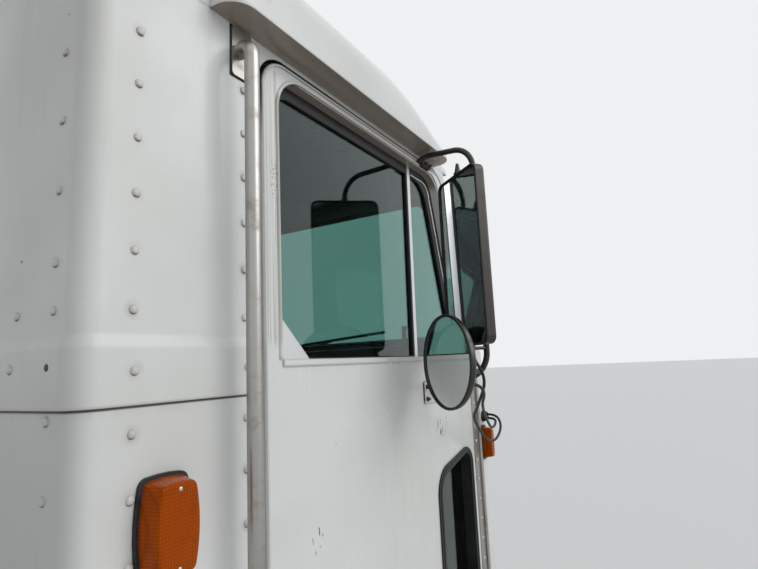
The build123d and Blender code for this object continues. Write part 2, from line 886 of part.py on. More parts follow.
def make_handle():
    """Outside paddle handle near the door's rear edge."""
    x, z = handle_place
    under = door_face + escutcheon_thickness
    paddle_back = under + paddle_standoff
    handle = side_plate(handle_place, escutcheon, under, door_face)
    handle = handle + side_plate((x + paddle_shift[0], z + paddle_shift[1]), paddle,
                                 paddle_back + paddle_thickness, paddle_back)
    for shift in paddle_post_shifts:
        handle = handle + side_plate((x + shift, z + paddle_shift[1]), paddle_post, paddle_back, under)
    return handle


def make_trim(peep):
    """Inner panel with an arm rest."""
    back = door_inner - trim_thickness
    low = door_bottom + trim_foot
    high = belt - trim_head
    front = door_front - trim_front
    face = outline([(window_rear, low), (front, low), (front, high), (window_rear, high)], [trim_corner] * 4)
    trim = side_slab(face, door_inner, back)
    rest = side_plate(rest_place, rest_size, back, back - rest_depth)
    if peep:
        trim = trim - side_slab(peep_outline(0), door_inner + cut_past, back - cut_past)
    return trim + fillet(rest.faces().sort_by(Axis.Y)[0].edges(), rest_round)


# Mirrors

def mirror_plane(middle, yaw):
    """Plane on a mirror's glass, facing back and inboard on the left side."""
    turn = radians(yaw)
    return Plane(origin=middle, x_dir=(sin(turn), -cos(turn), 0), z_dir=(-cos(turn), -sin(turn), 0))


mirror_middle = (mirror_x, skin_half_width + mirror_reach, mirror_z)
round_middle = (round_x, skin_half_width + round_reach, round_z)
upper_foot = (upper_foot_x + upper_weld[0], door_face, upper_foot_place[1] + upper_weld[1])
lower_foot = (lower_foot_x + lower_weld[0], door_face, lower_foot_place[1] + lower_weld[1])
head_plane = mirror_plane(mirror_middle, mirror_yaw)
dish_plane = mirror_plane(round_middle, round_yaw)
head_pocket = RectangleRounded(mirror_width - 2 * mirror_rim, mirror_height - 2 * mirror_rim,
                               mirror_corner - mirror_rim)
dish_pocket = Circle(round_radius - round_rim)


def rearmost(solid, plane):
    """The face of a mirror case furthest behind its glass."""
    return solid.faces().sort_by(lambda f: (f.center() - plane.origin).dot(plane.z_dir))[0]


def make_head_studs():
    """Capped stud on the head and plain stud under it."""
    outward = Vector(cos(radians(mirror_yaw)), sin(radians(mirror_yaw)), 0)
    crown = Vector(*mirror_middle) + outward * cap_inset + Vector(0, 0, mirror_height / 2)
    root = Vector(*mirror_middle) + outward * stud_inset - Vector(0, 0, mirror_height / 2 + foot_stud_height)
    collar, foot, tip = cap_radii
    low, high = cap_heights
    up = (Align.CENTER, Align.CENTER, Align.MIN)
    cap = Cylinder(collar, low, align=up) + Pos(0, 0, low) * Cone(foot, tip, high - low, align=up)
    cap = Pos(*crown) * cap
    stud = Pos(*root) * Cylinder(foot_stud_radius, foot_stud_height, align=up)
    return cap, stud


def make_mirror_cases():
    case = extrude(head_plane * RectangleRounded(mirror_width, mirror_height, mirror_corner), -mirror_depth)
    case = fillet(rearmost(case, head_plane).edges(), mirror_back_round)
    cap, stud = make_head_studs()
    dish = extrude(dish_plane * Circle(round_radius), -round_depth)
    dish = fillet(rearmost(dish, dish_plane).edges(), round_back_round)
    return [case + cap + stud - extrude(head_plane * head_pocket, -mirror_pocket),
            dish - extrude(dish_plane * dish_pocket, -mirror_pocket)]


def make_mirror_panes():
    return [extrude(plane.offset(-mirror_pocket) * pocket, mirror_glass)
            for plane, pocket in ((head_plane, head_pocket), (dish_plane, dish_pocket))]


def rod(start, end, radius):
    """Straight round bar between two places."""
    return extrude(Plane(origin=start, z_dir=(end - start).normalized()) * Circle(radius), (end - start).length)


def make_mirror_arms(cases):
    """Crooked tube with its studs, the round mirror's bar, the foot link and two foot plates."""
    outward = Vector(cos(radians(mirror_yaw)), sin(radians(mirror_yaw)), 0)
    along = Vector(-sin(radians(mirror_yaw)), cos(radians(mirror_yaw)), 0)
    stand = Vector(*mirror_middle) + outward * (mirror_depth + arm_standoff) + along * arm_outset
    x, y = stand.X, stand.Y
    route = [upper_foot, tuple(a + b for a, b in zip(upper_foot, arm_elbow)),
             (x, y, mirror_z + mirror_height / 2 + arm_peak), (x, y, lower_foot[2] + arm_drop), lower_foot]
    arm = tube(route, arm_bends, arm_radius)
    for rise in (-stud_spread, stud_spread):
        stud = head_plane.offset(-mirror_depth) * Pos(-arm_outset, rise) * Circle(stud_radius)
        arm = arm + extrude(stud, -arm_standoff)
    reach = Vector(*round_middle) + Vector(cos(radians(round_yaw)), sin(radians(round_yaw)), 0) * round_depth
    reach = reach - Vector(0, 0, round_bar_drop)
    arm = arm + rod(reach, Vector(x, y - round_bar_tuck, reach.Z), round_bar_radius)
    link_z = mirror_z - mirror_height / 2 - link_drop
    stud_middle = Vector(mirror_x, mirror_middle[1], link_z) + outward * stud_inset
    arm = arm + rod(stud_middle, Vector(x, y, link_z), link_radius)
    inside = block((door_rear, door_front), (door_inner, door_face), (door_bottom, door_top))
    arm = arm - inside
    for case in cases:
        arm = arm - case
    return (arm + side_plate(upper_foot_place, upper_foot_size, door_face + upper_foot_thickness, door_face)
            + side_plate(lower_foot_place, lower_foot_size, door_face + lower_foot_thickness, door_face))


for side, move in (("left", lambda piece: piece), ("right", reflect)):
    peep = side == "right"
    panes = make_panes(peep)
    cases = make_mirror_cases()
    pieces = {
        "door_panel": [make_panel(peep)],
        "door_hinge_leaf": [make_door_leaf()],
        "window_panes": panes,
        "window_seals": make_seals(peep, panes),
        "division_bar": [make_bar()],
        "door_handle": [make_handle()],
        "door_trim": [make_trim(peep)],
        "mirror_arms": [make_mirror_arms(cases)],
        "mirror_cases": cases,
        "mirror_panes": make_mirror_panes(),
    }
    for name, solids in pieces.items():
        save(f"{side}_{name}", *[move(solid) for solid in solids])


# Grab handles behind the doors

def make_grab_handle():
    y = skin_half_width + handle_standoff
    foot_x = handle_x + handle_set
    bar = tube([(foot_x, skin_half_width, handle_top), (handle_x, y, handle_top), (handle_x, y, handle_bottom),
                (foot_x, door_face, handle_bottom)], [handle_bend, handle_bend], handle_radius)
    bar = bar - shell_block(0, joggle_high, eave) - shell_block(lower_proud, panel_foot, seam_height)
    plate_x = handle_x - handle_plate_edge + handle_plate[0] / 2
    for z, face in ((handle_top, skin_half_width), (handle_bottom, door_face)):
        bar = bar + side_plate((plate_x, z), handle_plate, face + handle_plate_thickness, face)
    return bar


save("grab_handles", *both(make_grab_handle()))


# Side and roof lamps

def pillow(place, half_width, half_height, bulge, corner):
    """Face with four bulged sides and rounded corners."""
    x, z = place
    w = half_width - bulge
    h = half_height - bulge / 2
    corners = [(x - w, z - h), (x + w, z - h), (x + w, z + h), (x - w, z + h)]
    middles = [(x, z - half_height), (x + half_width, z), (x, z + half_height), (x - half_width, z)]
    sides = [ThreePointArc(start, middle, end)
             for start, middle, end in zip(corners, middles, corners[1:] + corners[:1])]
    return fillet(make_face(sides).vertices(), corner)


def make_lamp(place, half_width, half_height, depth, bulge, corner):
    """Rubber base and drafted lens of a side lamp."""
    base = side_slab(pillow(place, half_width, half_height, bulge, corner), door_face + lamp_base, door_face)
    foot = pillow(place, half_width - lens_margin, half_height - lens_margin, bulge, corner - lens_margin)
    head = pillow(place, half_width - lens_margin - lens_draft, half_height - lens_margin - lens_draft, bulge,
                  corner - lens_margin)
    lens = loft([side_plane(door_face + lamp_base) * foot, side_plane(door_face + depth) * head])
    return base, fillet(lens.faces().sort_by(Axis.Y)[-1].edges(), lens_edge)


# columns: place, half width, half height, depth, bulge, corner
lamp_table = ((corner_lamp, 38.5, 61.0, 34.0, 6.0, 13.0), (cowl_lamp, 21.0, 48.5, 32.0, 2.0, 10.0))
lamps = [make_lamp(*row) for row in lamp_table]
save("side_lamp_bases", *[piece for base, lens in lamps for piece in both(base)])
save("side_lamp_lenses", *[piece for base, lens in lamps for piece in both(lens)])

roof_lamps = []
for y in roof_lamp_places:
    height = roof_height(roof_lamp_x, y)
    lens = Pos(roof_lamp_x, y, height) * Cylinder(roof_lamp_radius, 2 * roof_lamp_height)
    ball = Pos(roof_lamp_x, y, height - roof_lamp_height / 2) * Sphere(roof_lamp_dome)
    lamp = (lens & ball) - roof
    roof_lamps.append(max(lamp.solids(), key=lambda piece: piece.center().Z))
save("roof_lamp_lenses", *roof_lamps)


# Wipers parked along the foot of each windshield pane

def wiper_part(side, middle, turn, lift, solid):
    """A wiper piece on the windshield's face, raised by lift."""
    return screen_plane * Pos(side * middle[0], middle[1], lift) * Rot(0, 0, side * turn) * solid


def make_wiper(side):
    pivot = Cylinder(wiper_pivot_radius, wiper_pivot_height)
    wiper = wiper_part(side, wiper_pivot, 0, wiper_pivot_height / 2, pivot)
    wiper = wiper + wiper_part(side, wiper_link_middle, wiper_link_turn,
                               wiper_pivot_height - wiper_link[2] / 2, Box(*wiper_link))
    return wiper + wiper_part(side, wiper_blade_middle, wiper_blade_turn, wiper_blade[2] / 2, Box(*wiper_blade))


save("wipers", make_wiper(-1), make_wiper(1))


# Cabin fittings

def make_dash():
    front = front_face - wall
    rear = front - dash_depth
    top = dash_foot + dash_height
    half_width = door_inner - trim_thickness - dash_clearance
    corners = [(rear, dash_foot), (front, dash_foot), (front, top), (rear, top - dash_fall)]
    dash = side_slab(outline(corners, dash_corners), half_width, -half_width)
    y = wheel_centre[1]
    hood = [(rear - hood_reach, dash_foot + hood_foot), (rear + hood_lap, dash_foot + hood_foot),
            (rear + hood_lap, top - hood_falls[0]), (rear - hood_reach, top - hood_falls[1])]
    return dash + side_slab(outline(hood, hood_corners), y + hood_half_width, y - hood_half_width)


dash = make_dash()
save("dashboard", dash)

wheel_axis = Vector(-sin(radians(90 - wheel_lean)), 0, cos(radians(90 - wheel_lean)))
wheel_plane = Plane(origin=wheel_centre, x_dir=(0, 1, 0), z_dir=wheel_axis)


def make_steering_wheel():
    ring = Pos(wheel_radius - rim_radius, 0, 0) * (Plane.XZ * Circle(rim_radius))
    wheel = revolve(ring, Axis.Z) + Pos(0, 0, -hub_sink) * Cylinder(hub_radius, hub_length)
    for turn in (90, 210, 330):
        wheel = wheel + Rot(0, 0, turn) * Pos(spoke_middle, 0, 0) * Box(*spoke_size)
    return wheel_plane * wheel


save("steering_wheel", make_steering_wheel())


def make_column():
    head = -hub_sink - hub_length / 2 - running_gap
    column = wheel_plane * Pos(0, 0, head - column_length / 2) * Cylinder(column_radius, column_length)
    column = column - floor_pan
    column = max(column.solids(), key=lambda s: s.volume)
    x = front_face - wall - dash_depth + hood_reach
    middle = x + bracket_length / 2
    height = wheel_centre[2] - (middle - wheel_centre[0]) * tan(radians(wheel_lean))
    bracket = block((x, x + bracket_length),
                    (wheel_centre[1] - bracket_half_width, wheel_centre[1] + bracket_half_width),
                    (height, dash_foot))
    return column + bracket


save("steering_column", make_column())

seat_front = seat_rear + seat_depth
seat_top = floor_top + seat_base_height
tray_foot = seat_top - 30.0
# columns: rear inset, front inset, half width, bottom, top
seat_tiers = ((60.0, 40.0, 190.0, floor_top, floor_top + 40.0),
              (110.0, 90.0, 140.0, floor_top, tray_foot),
              (20.0, 10.0, 215.0, tray_foot, seat_top))
bases = []
cushions = []
backs = []
for y in seat_places:
    tiers = [block((seat_rear + rear_inset, seat_front - front_inset),
                   (y - half_width, y + half_width), (z0, z1))
             for rear_inset, front_inset, half_width, z0, z1 in seat_tiers]
    bases.append(tiers[0].fuse(*tiers[1:]))
    cushion = block((seat_rear + back_thickness, seat_front), (y - seat_width / 2, y + seat_width / 2),
                    (seat_top + seat_clearance, seat_top + cushion_thickness))
    cushions.append(fillet(cushion.edges(), seat_round))
    back = Box(back_thickness, seat_width, back_height, align=(Align.MAX, Align.CENTER, Align.MIN))
    back = fillet(back.edges(), seat_round)
    turn = radians(back_lean)
    sunk = seat_round * (1 - cos(turn)) + (back_thickness - seat_round) * sin(turn)
    place = (seat_rear + back_thickness - seat_clearance, y, seat_top + sunk + seat_clearance)
    backs.append(Pos(*place) * Rot(0, -back_lean, 0) * back)
save("seat_bases", *bases)
save("seat_cushions", *cushions)
save("seat_backs", *backs)


def make_gear_lever():
    x, y = lever_place
    knee, tip = lever_rise
    route = [(x, y, floor_top), (x - lever_lean[0], y, floor_top + knee),
             (x - lever_lean[1], y, floor_top + tip)]
    lever = tube(route, [lever_bend], lever_radius)
    knob = Pos(x - lever_lean[1], y, floor_top + tip + knob_rise) * Sphere(knob_radius)
    boot = Pos(x, y, floor_top) * Cone(*boot_radii, boot_height, align=(Align.CENTER, Align.CENTER, Align.MIN))
    return lever + knob + boot - floor_pan


save("gear_lever", make_gear_lever())

# columns: place across the cab, pad width
pedal_table = ((225.0, 60.0), (335.0, 90.0), (570.0, 90.0))
toe_angle = atan2(toe_rise, toe_run)
toe_tilt = Rot(0, -degrees(toe_angle), 0)
toe_normal = Vector(-sin(toe_angle), 0, cos(toe_angle))
pedals = []
for y, width in pedal_table:
    root = Vector(front_face - wall - toe_run * (1 - pedal_share), y, floor_top + toe_rise * pedal_share)
    pad = Pos(*(root + toe_normal * pedal_height)) * toe_tilt * Box(pedal_length, width, pedal_thickness)
    stem = Pos(*(root + toe_normal * (pedal_height / 2 - pedal_stem_sink))) * toe_tilt * Box(
        *pedal_stem, pedal_height)
    pedals.append((pad + stem) - floor_pan)
save("pedals", *pedals)


# Cable glands on the cowl and the two mirror cables of the right side

gland = Pos(gland_place[0], door_face, gland_place[1]) * Rot(-90, 0, 0) * Cone(
    *gland_radii, gland_length, align=(Align.CENTER, Align.CENTER, Align.MIN))
save("cable_glands", *both(gland))


def cord(points):
    """Round cable whose bends are as large as its runs allow."""
    runs = [(Vector(*b) - Vector(*a)) for a, b in zip(points, points[1:])]
    radii = [0.45 * min(a.length, b.length) / tan(radians(a.get_angle(b)) / 2) for a, b in zip(runs, runs[1:])]
    path = FilletPolyline(*points, radius=radii)
    solid = tube(points, radii, cable_radius)
    print("cable length", round(path.length), "radii", [round(radius) for radius in radii],
          "volume share", round(solid.volume / (pi * cable_radius**2 * path.length), 4))
    return solid


gland_end = door_face + gland_length
stud_foot = (mirror_x + stud_inset * cos(radians(mirror_yaw)),
             -mirror_middle[1] - stud_inset * sin(radians(mirror_yaw)),
             mirror_z - mirror_height / 2 - foot_stud_height)
long_route = [
    (stud_foot[0], stud_foot[1], stud_foot[2] - cable_gap),
    (157, -1094, 952),
    (163, -1104, 933),
    (169, -1110, 912),
    (177, -1106, 890),
    (192, -1093, 871),
    (222, -1074, 851),
    (258, -1055, 835),
    (305, -1025, 809),
    (394, -1007, 765),
    (462, -1003, 727),
    (512, -1006, 720),
    (549, -1010, 736),
    (570, -1010, 762),
    (gland_place[0], -994, gland_place[1] + gland_spread),
    (gland_place[0], -gland_end, gland_place[1] + gland_spread),
]
dish_back = (round_middle[0] + cos(radians(round_yaw)) * round_depth,
             -round_middle[1] - sin(radians(round_yaw)) * round_depth, round_middle[2] - 45)
short_route = [
    dish_back,
    (dish_back[0] + 30 * cos(radians(round_yaw)), dish_back[1] - 30 * sin(radians(round_yaw)), dish_back[2]),
    (136, -1114, 893),
    (165, -1110, 874),
    (202, -1090, 853),
    (252, -1072, 838),
    (305, -1055, 822),
    (393, -1030, 792),
    (470, -1012, 762),
    (540, -1000, 757),
    (gland_place[0], -994, gland_place[1] - gland_spread),
    (gland_place[0], -gland_end, gland_place[1] - gland_spread),
]
save("mirror_cable_long", cord(long_route))
save("mirror_cable_short", cord(short_route))
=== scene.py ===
import json
import math
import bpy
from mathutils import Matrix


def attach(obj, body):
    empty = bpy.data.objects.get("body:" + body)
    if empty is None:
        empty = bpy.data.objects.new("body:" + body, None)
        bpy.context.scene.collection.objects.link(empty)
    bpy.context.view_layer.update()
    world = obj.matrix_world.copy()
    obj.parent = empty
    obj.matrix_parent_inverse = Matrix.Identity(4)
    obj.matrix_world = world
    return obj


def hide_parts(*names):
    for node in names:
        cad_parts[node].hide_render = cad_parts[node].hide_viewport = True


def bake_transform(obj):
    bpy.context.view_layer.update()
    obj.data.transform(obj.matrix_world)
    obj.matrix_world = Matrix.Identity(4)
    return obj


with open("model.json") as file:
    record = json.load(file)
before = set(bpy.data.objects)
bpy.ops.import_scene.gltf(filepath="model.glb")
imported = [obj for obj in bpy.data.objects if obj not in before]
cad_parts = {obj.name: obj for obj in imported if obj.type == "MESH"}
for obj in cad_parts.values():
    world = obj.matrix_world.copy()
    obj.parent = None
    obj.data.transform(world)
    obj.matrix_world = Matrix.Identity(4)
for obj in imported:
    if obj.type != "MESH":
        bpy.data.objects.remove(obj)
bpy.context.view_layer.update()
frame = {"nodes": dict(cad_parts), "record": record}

from types import SimpleNamespace

import bmesh
import bpy
from mathutils import Matrix, Vector

# Metres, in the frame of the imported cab: X forward, Y to the left side, Z up from the floor.
nodes = frame["nodes"]
scene = bpy.context.scene
scene.view_settings.view_transform = "Standard"

camera = {
    "place": (-0.987, -1.520, 0.950),
    "right": (0.5084, -0.8599, -0.0450),
    "up": (-0.1069, -0.1149, 0.9876),
    "back": (-0.8544, -0.4973, -0.1503),
    "lens": 24.98,
    "sensor": 36.0,
    "near": 0.02,
}
cameraData = bpy.data.cameras.new("photoCamera")
cameraData.lens = camera["lens"]
cameraData.sensor_width = camera["sensor"]
cameraData.clip_start = camera["near"]
photoCamera = bpy.data.objects.new("photoCamera", cameraData)
turn = Matrix((camera["right"], camera["up"], camera["back"])).transposed()
photoCamera.matrix_world = Matrix.Translation(camera["place"]) @ turn.to_4x4()
scene.collection.objects.link(photoCamera)
scene.camera = photoCamera


def addObject(name, mesh, material=None, smooth=True):
    made = bpy.data.objects.new(name, mesh)
    scene.collection.objects.link(made)
    if material:
        made.data.materials.append(material)
    if smooth:
        made.data.polygons.foreach_set("use_smooth", [True] * len(made.data.polygons))
    return made


def meshFrom(name, vertices, faces):
    mesh = bpy.data.meshes.new(name)
    mesh.from_pydata([tuple(v) for v in vertices], [], faces)
    mesh.update()
    return mesh


def meshOf(holder):
    # the plain mesh that an object's curve or modifiers come to; the object itself goes
    bpy.context.view_layer.update()
    evaluated = holder.evaluated_get(bpy.context.evaluated_depsgraph_get())
    mesh = bpy.data.meshes.new_from_object(evaluated)
    bpy.data.objects.remove(holder)
    return mesh


def splinePoints(route):
    # the points that a smooth NURBS spline takes along a route
    curve = bpy.data.curves.new("route", "CURVE")
    curve.dimensions = "3D"
    curve.resolution_u = 10
    spline = curve.splines.new("NURBS")
    spline.points.add(len(route) - 1)
    for point, place in zip(spline.points, route):
        point.co = (*place, 1.0)
    spline.order_u = 3
    spline.use_endpoint_u = True
    holder = bpy.data.objects.new("route", curve)
    scene.collection.objects.link(holder)
    mesh = meshOf(holder)
    points = [v.co.copy() for v in mesh.vertices]
    bpy.data.meshes.remove(mesh)
    return points


def circlePoints(middle, across, upward, radius, count):
    angles = [2 * math.pi * k / count for k in range(count)]
    return [middle + (across * math.cos(a) + upward * math.sin(a)) * radius for a in angles]


def skinRings(name, vertices, sides, closed=False):
    # a skin over rings of points, capped at both ends unless it closes on itself
    count = len(vertices) // sides
    faces = []
    for i in range(count if closed else count - 1):
        j = (i + 1) % count
        for k in range(sides):
            m = (k + 1) % sides
            faces.append((i * sides + k, i * sides + m, j * sides + m, j * sides + k))
    if not closed:
        faces.append(tuple(reversed(range(sides))))
        faces.append(tuple(range((count - 1) * sides, count * sides)))
    return meshFrom(name, vertices, faces)


def sweepTube(name, points, radius, sides=12, closed=False):
    # round tube along points, its rings carried along without twist
    count = len(points)
    tangents = []
    for i in range(count):
        before = points[i - 1] if i or closed else points[i]
        after = points[(i + 1) % count] if i < count - 1 or closed else points[i]
        tangents.append((after - before).normalized())
    side = tangents[0].orthogonal().normalized()
    vertices = []
    for point, tangent in zip(points, tangents):
        side = (side - tangent * side.dot(tangent)).normalized()
        vertices += circlePoints(point, side, tangent.cross(side), radius, sides)
    return skinRings(name, vertices, sides, closed)


def turned(profile, origin, axis, sides=24):
    # solid of revolution from (radius, height) pairs along an axis
    across, upward, along = Vector(axis).to_track_quat("Z", "Y").to_matrix().transposed()
    vertices = []
    for radius, height in profile:
        vertices += circlePoints(Vector(origin) + along * height, across, upward, radius, sides)
    return skinRings("turned", vertices, sides)


def arcRound(here, before, after, radius, steps):
    # points of a rounded corner between two neighbours
    toBefore = (before - here).normalized()
    toAfter = (after - here).normalized()
    half = toBefore.angle(toAfter) / 2
    middle = here + (toBefore + toAfter).normalized() * (radius / math.sin(half))
    start = (here + toBefore * (radius / math.tan(half)) - middle).normalized()
    end = (here + toAfter * (radius / math.tan(half)) - middle).normalized()
    return [middle + start.slerp(end, k / steps) * radius for k in range(steps + 1)]


def roundedLoop(corners, radii, steps=8):
    corners = [Vector(c) for c in corners]
    count = len(corners)
    points = []
    for i, radius in enumerate(radii):
        points += arcRound(corners[i], corners[i - 1], corners[(i + 1) % count], radius, steps)
    return points


def onSide(points, y):
    return [Vector((p[0], y, p[1])) for p in points]


def loopTube(points, radius, sides=8):
    return sweepTube("loop", points, radius, sides, closed=True)


def frameLoop(middle, across, upward, rounding, thickness):
    # tube round a rectangle, which is given by its middle and two half sides
    corners = [Vector(middle) + across * a + upward * b for a, b in ((-1, -1), (1, -1), (1, 1), (-1, 1))]
    return loopTube(roundedLoop(corners, (rounding,) * 4), thickness)


def crossFrame(middle, half, rounding, thickness):
    # the same for an upright rectangle across the cab
    return frameLoop(middle, Vector((0, half[0], 0)), Vector((0, 0, half[1])), rounding, thickness)


def roundedBox(low, high, bevel, segments=2, frameOf=None):
    # box with bevelled edges, in an optional turned frame
    shape = bmesh.new()
    bmesh.ops.create_cube(shape, size=1.0)
    size = Vector(high) - Vector(low)
    middle = (Vector(high) + Vector(low)) / 2
    bmesh.ops.scale(shape, vec=size, verts=shape.verts)
    bmesh.ops.bevel(shape, geom=shape.edges[:], offset=min(bevel, min(size) * 0.45), segments=segments,
                    profile=0.5, affect="EDGES")
    bmesh.ops.translate(shape, vec=middle, verts=shape.verts)
    if frameOf:
        shape.transform(frameOf)
    mesh = bpy.data.meshes.new("box")
    shape.to_mesh(mesh)
    shape.free()
    return mesh


def placed(made, body, slot):
    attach(made, body)
    return made


sharpAngle = math.radians(38)


def joined(name, meshes, body, slot, smooth=True):
    # several meshes as one piece on a body, in the material of its slot
    whole = bmesh.new()
    for mesh in meshes:
        whole.from_mesh(mesh)
        bpy.data.meshes.remove(mesh)
    mesh = bpy.data.meshes.new(name)
    whole.to_mesh(mesh)
    whole.free()
    made = addObject(name, mesh, materials[slot], smooth)
    if smooth:
        mesh.set_sharp_from_angle(angle=sharpAngle)
    return placed(made, body, slot)


cables = {
    "radius": 0.0035,
    "bendStart": (0.34, -1.02, 0.78),
    "bendEnd": (0.572, -1.00, 0.78),
    "mirrorCableLong": (0.615, "mirror_cable_long", (
        (0.1562, -1.0929, 0.9707), (0.157, -1.094, 0.952), (0.163, -1.104, 0.933), (0.169, -1.110, 0.912),
        (0.177, -1.106, 0.890), (0.192, -1.093, 0.871), (0.222, -1.074, 0.851), (0.258, -1.055, 0.835),
        (0.305, -1.025, 0.809), (0.394, -1.007, 0.765),
        (0.462, -1.003, 0.727), (0.512, -1.006, 0.720), (0.549, -1.010, 0.736), (0.570, -1.010, 0.762),
        (0.576, -0.994, 0.7875), (0.576, -0.9665, 0.7875))),
    "mirrorCableShort": (0.581, "mirror_cable_short", (
        (0.0768, -1.0771, 0.904), (0.1007, -1.0952, 0.904), (0.136, -1.114, 0.893), (0.165, -1.110, 0.874),
        (0.202, -1.090, 0.853), (0.252, -1.072, 0.838), (0.305, -1.055, 0.822), (0.393, -1.030, 0.792),
        (0.470, -1.012, 0.762), (0.540, -1.000, 0.757), (0.576, -0.994, 0.7765), (0.576, -0.9665, 0.7765))),
}
cableObjects = []
for name in ("mirrorCableLong", "mirrorCableShort"):
    length, node, route = cables[name]
    line = splinePoints(route)
    cable = addObject(name, sweepTube(name, line, cables["radius"]))
    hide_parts(node)
    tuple(route[0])
    [tuple(p) for p in line]
    tuple(cables["bendStart"])
    tuple(cables["bendEnd"])
    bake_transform(cable)
    cableObjects.append(cable)
print("camera and cables are made")


class Wire:
    # a socket in a node tree, so that masks and heights read as sums and products

    def __init__(self, tree, socket=None):
        self.tree = tree
        self.socket = socket

    def node(self, kind, settings=None, sockets=None, out=0):
        made = self.tree.nodes.new(kind)
        for key, value in (settings or {}).items():
            setattr(made, key, value)
        for key, value in (sockets or {}).items():
            if isinstance(value, Wire):
                self.tree.links.new(value.socket, made.inputs[key])
            else:
                made.inputs[key].default_value = value
        return Wire(self.tree, made.outputs[out])

    def pair(self, operation, first, second=0.0):
        return self.node("ShaderNodeMath", {"operation": operation}, {0: first, 1: second})

    def __abs__(self):
        return self.pair("ABSOLUTE", self)

    def larger(self, other):
        return self.pair("MAXIMUM", self, other)

    def smaller(self, other):
        return self.pair("MINIMUM", self, other)

    def wave(self):
        return self.pair("SINE", self)


# Wires are added, subtracted and multiplied like numbers, on either side.
for name, operation in (("add", "ADD"), ("sub", "SUBTRACT"), ("mul", "MULTIPLY")):
    setattr(Wire, f"__{name}__", lambda self, other, kind=operation: self.pair(kind, self, other))
    setattr(Wire, f"__r{name}__", lambda self, other, kind=operation: self.pair(kind, other, self))


def newMaterial(slot):
    # a material is named like its slot, but in camel case
    first, *others = slot.split("_")
    material = bpy.data.materials.new(first + "".join(word.title() for word in others))
    material.use_nodes = True
    tree = material.node_tree
    place = Wire(tree).node("ShaderNodeTexCoord", out="Object")
    return material, tree.nodes["Principled BSDF"], place


def axes(place):
    split = place.tree.nodes.new("ShaderNodeSeparateXYZ")
    place.tree.links.new(place.socket, split.inputs[0])
    return [Wire(place.tree, split.outputs[i]) for i in range(3)]


def stretch(place, x, y, z):
    return place.node("ShaderNodeVectorMath", {"operation": "MULTIPLY"}, {0: place, 1: (x, y, z)})


def noise(place, scale, detail=3.0, rough=0.55):
    return place.node("ShaderNodeTexNoise", None,
                      {"Vector": place, "Scale": scale, "Detail": detail, "Roughness": rough}, "Fac")


def step(value, low, high):
    # 0 below low and 1 above high, smoothly; turned round where low is the larger
    return value.node("ShaderNodeMapRange", {"interpolation_type": "SMOOTHSTEP"},
                      {"Value": value, "From Min": low, "From Max": high})


def fadeOut(value, low, high):
    return 1 - step(value, low, high)


def within(value, rise, fall):
    # 1 between two soft ends, each given by the values where it starts and stops
    return step(value, *rise) * fadeOut(value, *fall)


def cloud(place, scale, low, high, detail=3.0, rough=0.55):
    # soft patches: noise cut between two levels
    return step(noise(place, scale, detail, rough), low, high)


def drawnDown(place, share):
    # the same place with its heights pressed together, which draws a pattern out downwards
    return stretch(place, 1.0, 1.0, share)


def cells(place, scale):
    return place.node("ShaderNodeTexVoronoi", {"feature": "F1"}, {"Vector": place, "Scale": scale}, "Distance")


def blendColour(factor, first, second):
    sockets = {0: factor}
    for slot, colour in ((6, first), (7, second)):
        sockets[slot] = colour if isinstance(colour, Wire) else (*colour, 1.0)
    return factor.node("ShaderNodeMix", {"data_type": "RGBA"}, sockets, 2)


def bump(height, distance, strength=1.0, under=None):
    sockets = {"Height": height, "Distance": distance, "Strength": strength}
    if under:
        sockets["Normal"] = under
    return height.node("ShaderNodeBump", None, sockets)


def setShader(shader, fixed=None, **wires):
    # fixed values go on the shader's own sockets, and what varies is linked
    for key, value in (fixed or {}).items():
        shader.inputs[key].default_value = (*value, 1.0) if isinstance(value, tuple) else value
    names = {"colour": "Base Color", "rough": "Roughness", "coat": "Coat Weight", "normal": "Normal"}
    for key, wire in wires.items():
        wire.tree.links.new(wire.socket, shader.inputs[names[key]])


def normalAxes(place):
    # how far a surface faces ahead, left and up, each from -1 to 1
    return axes(place.node("ShaderNodeNewGeometry", out="Normal"))


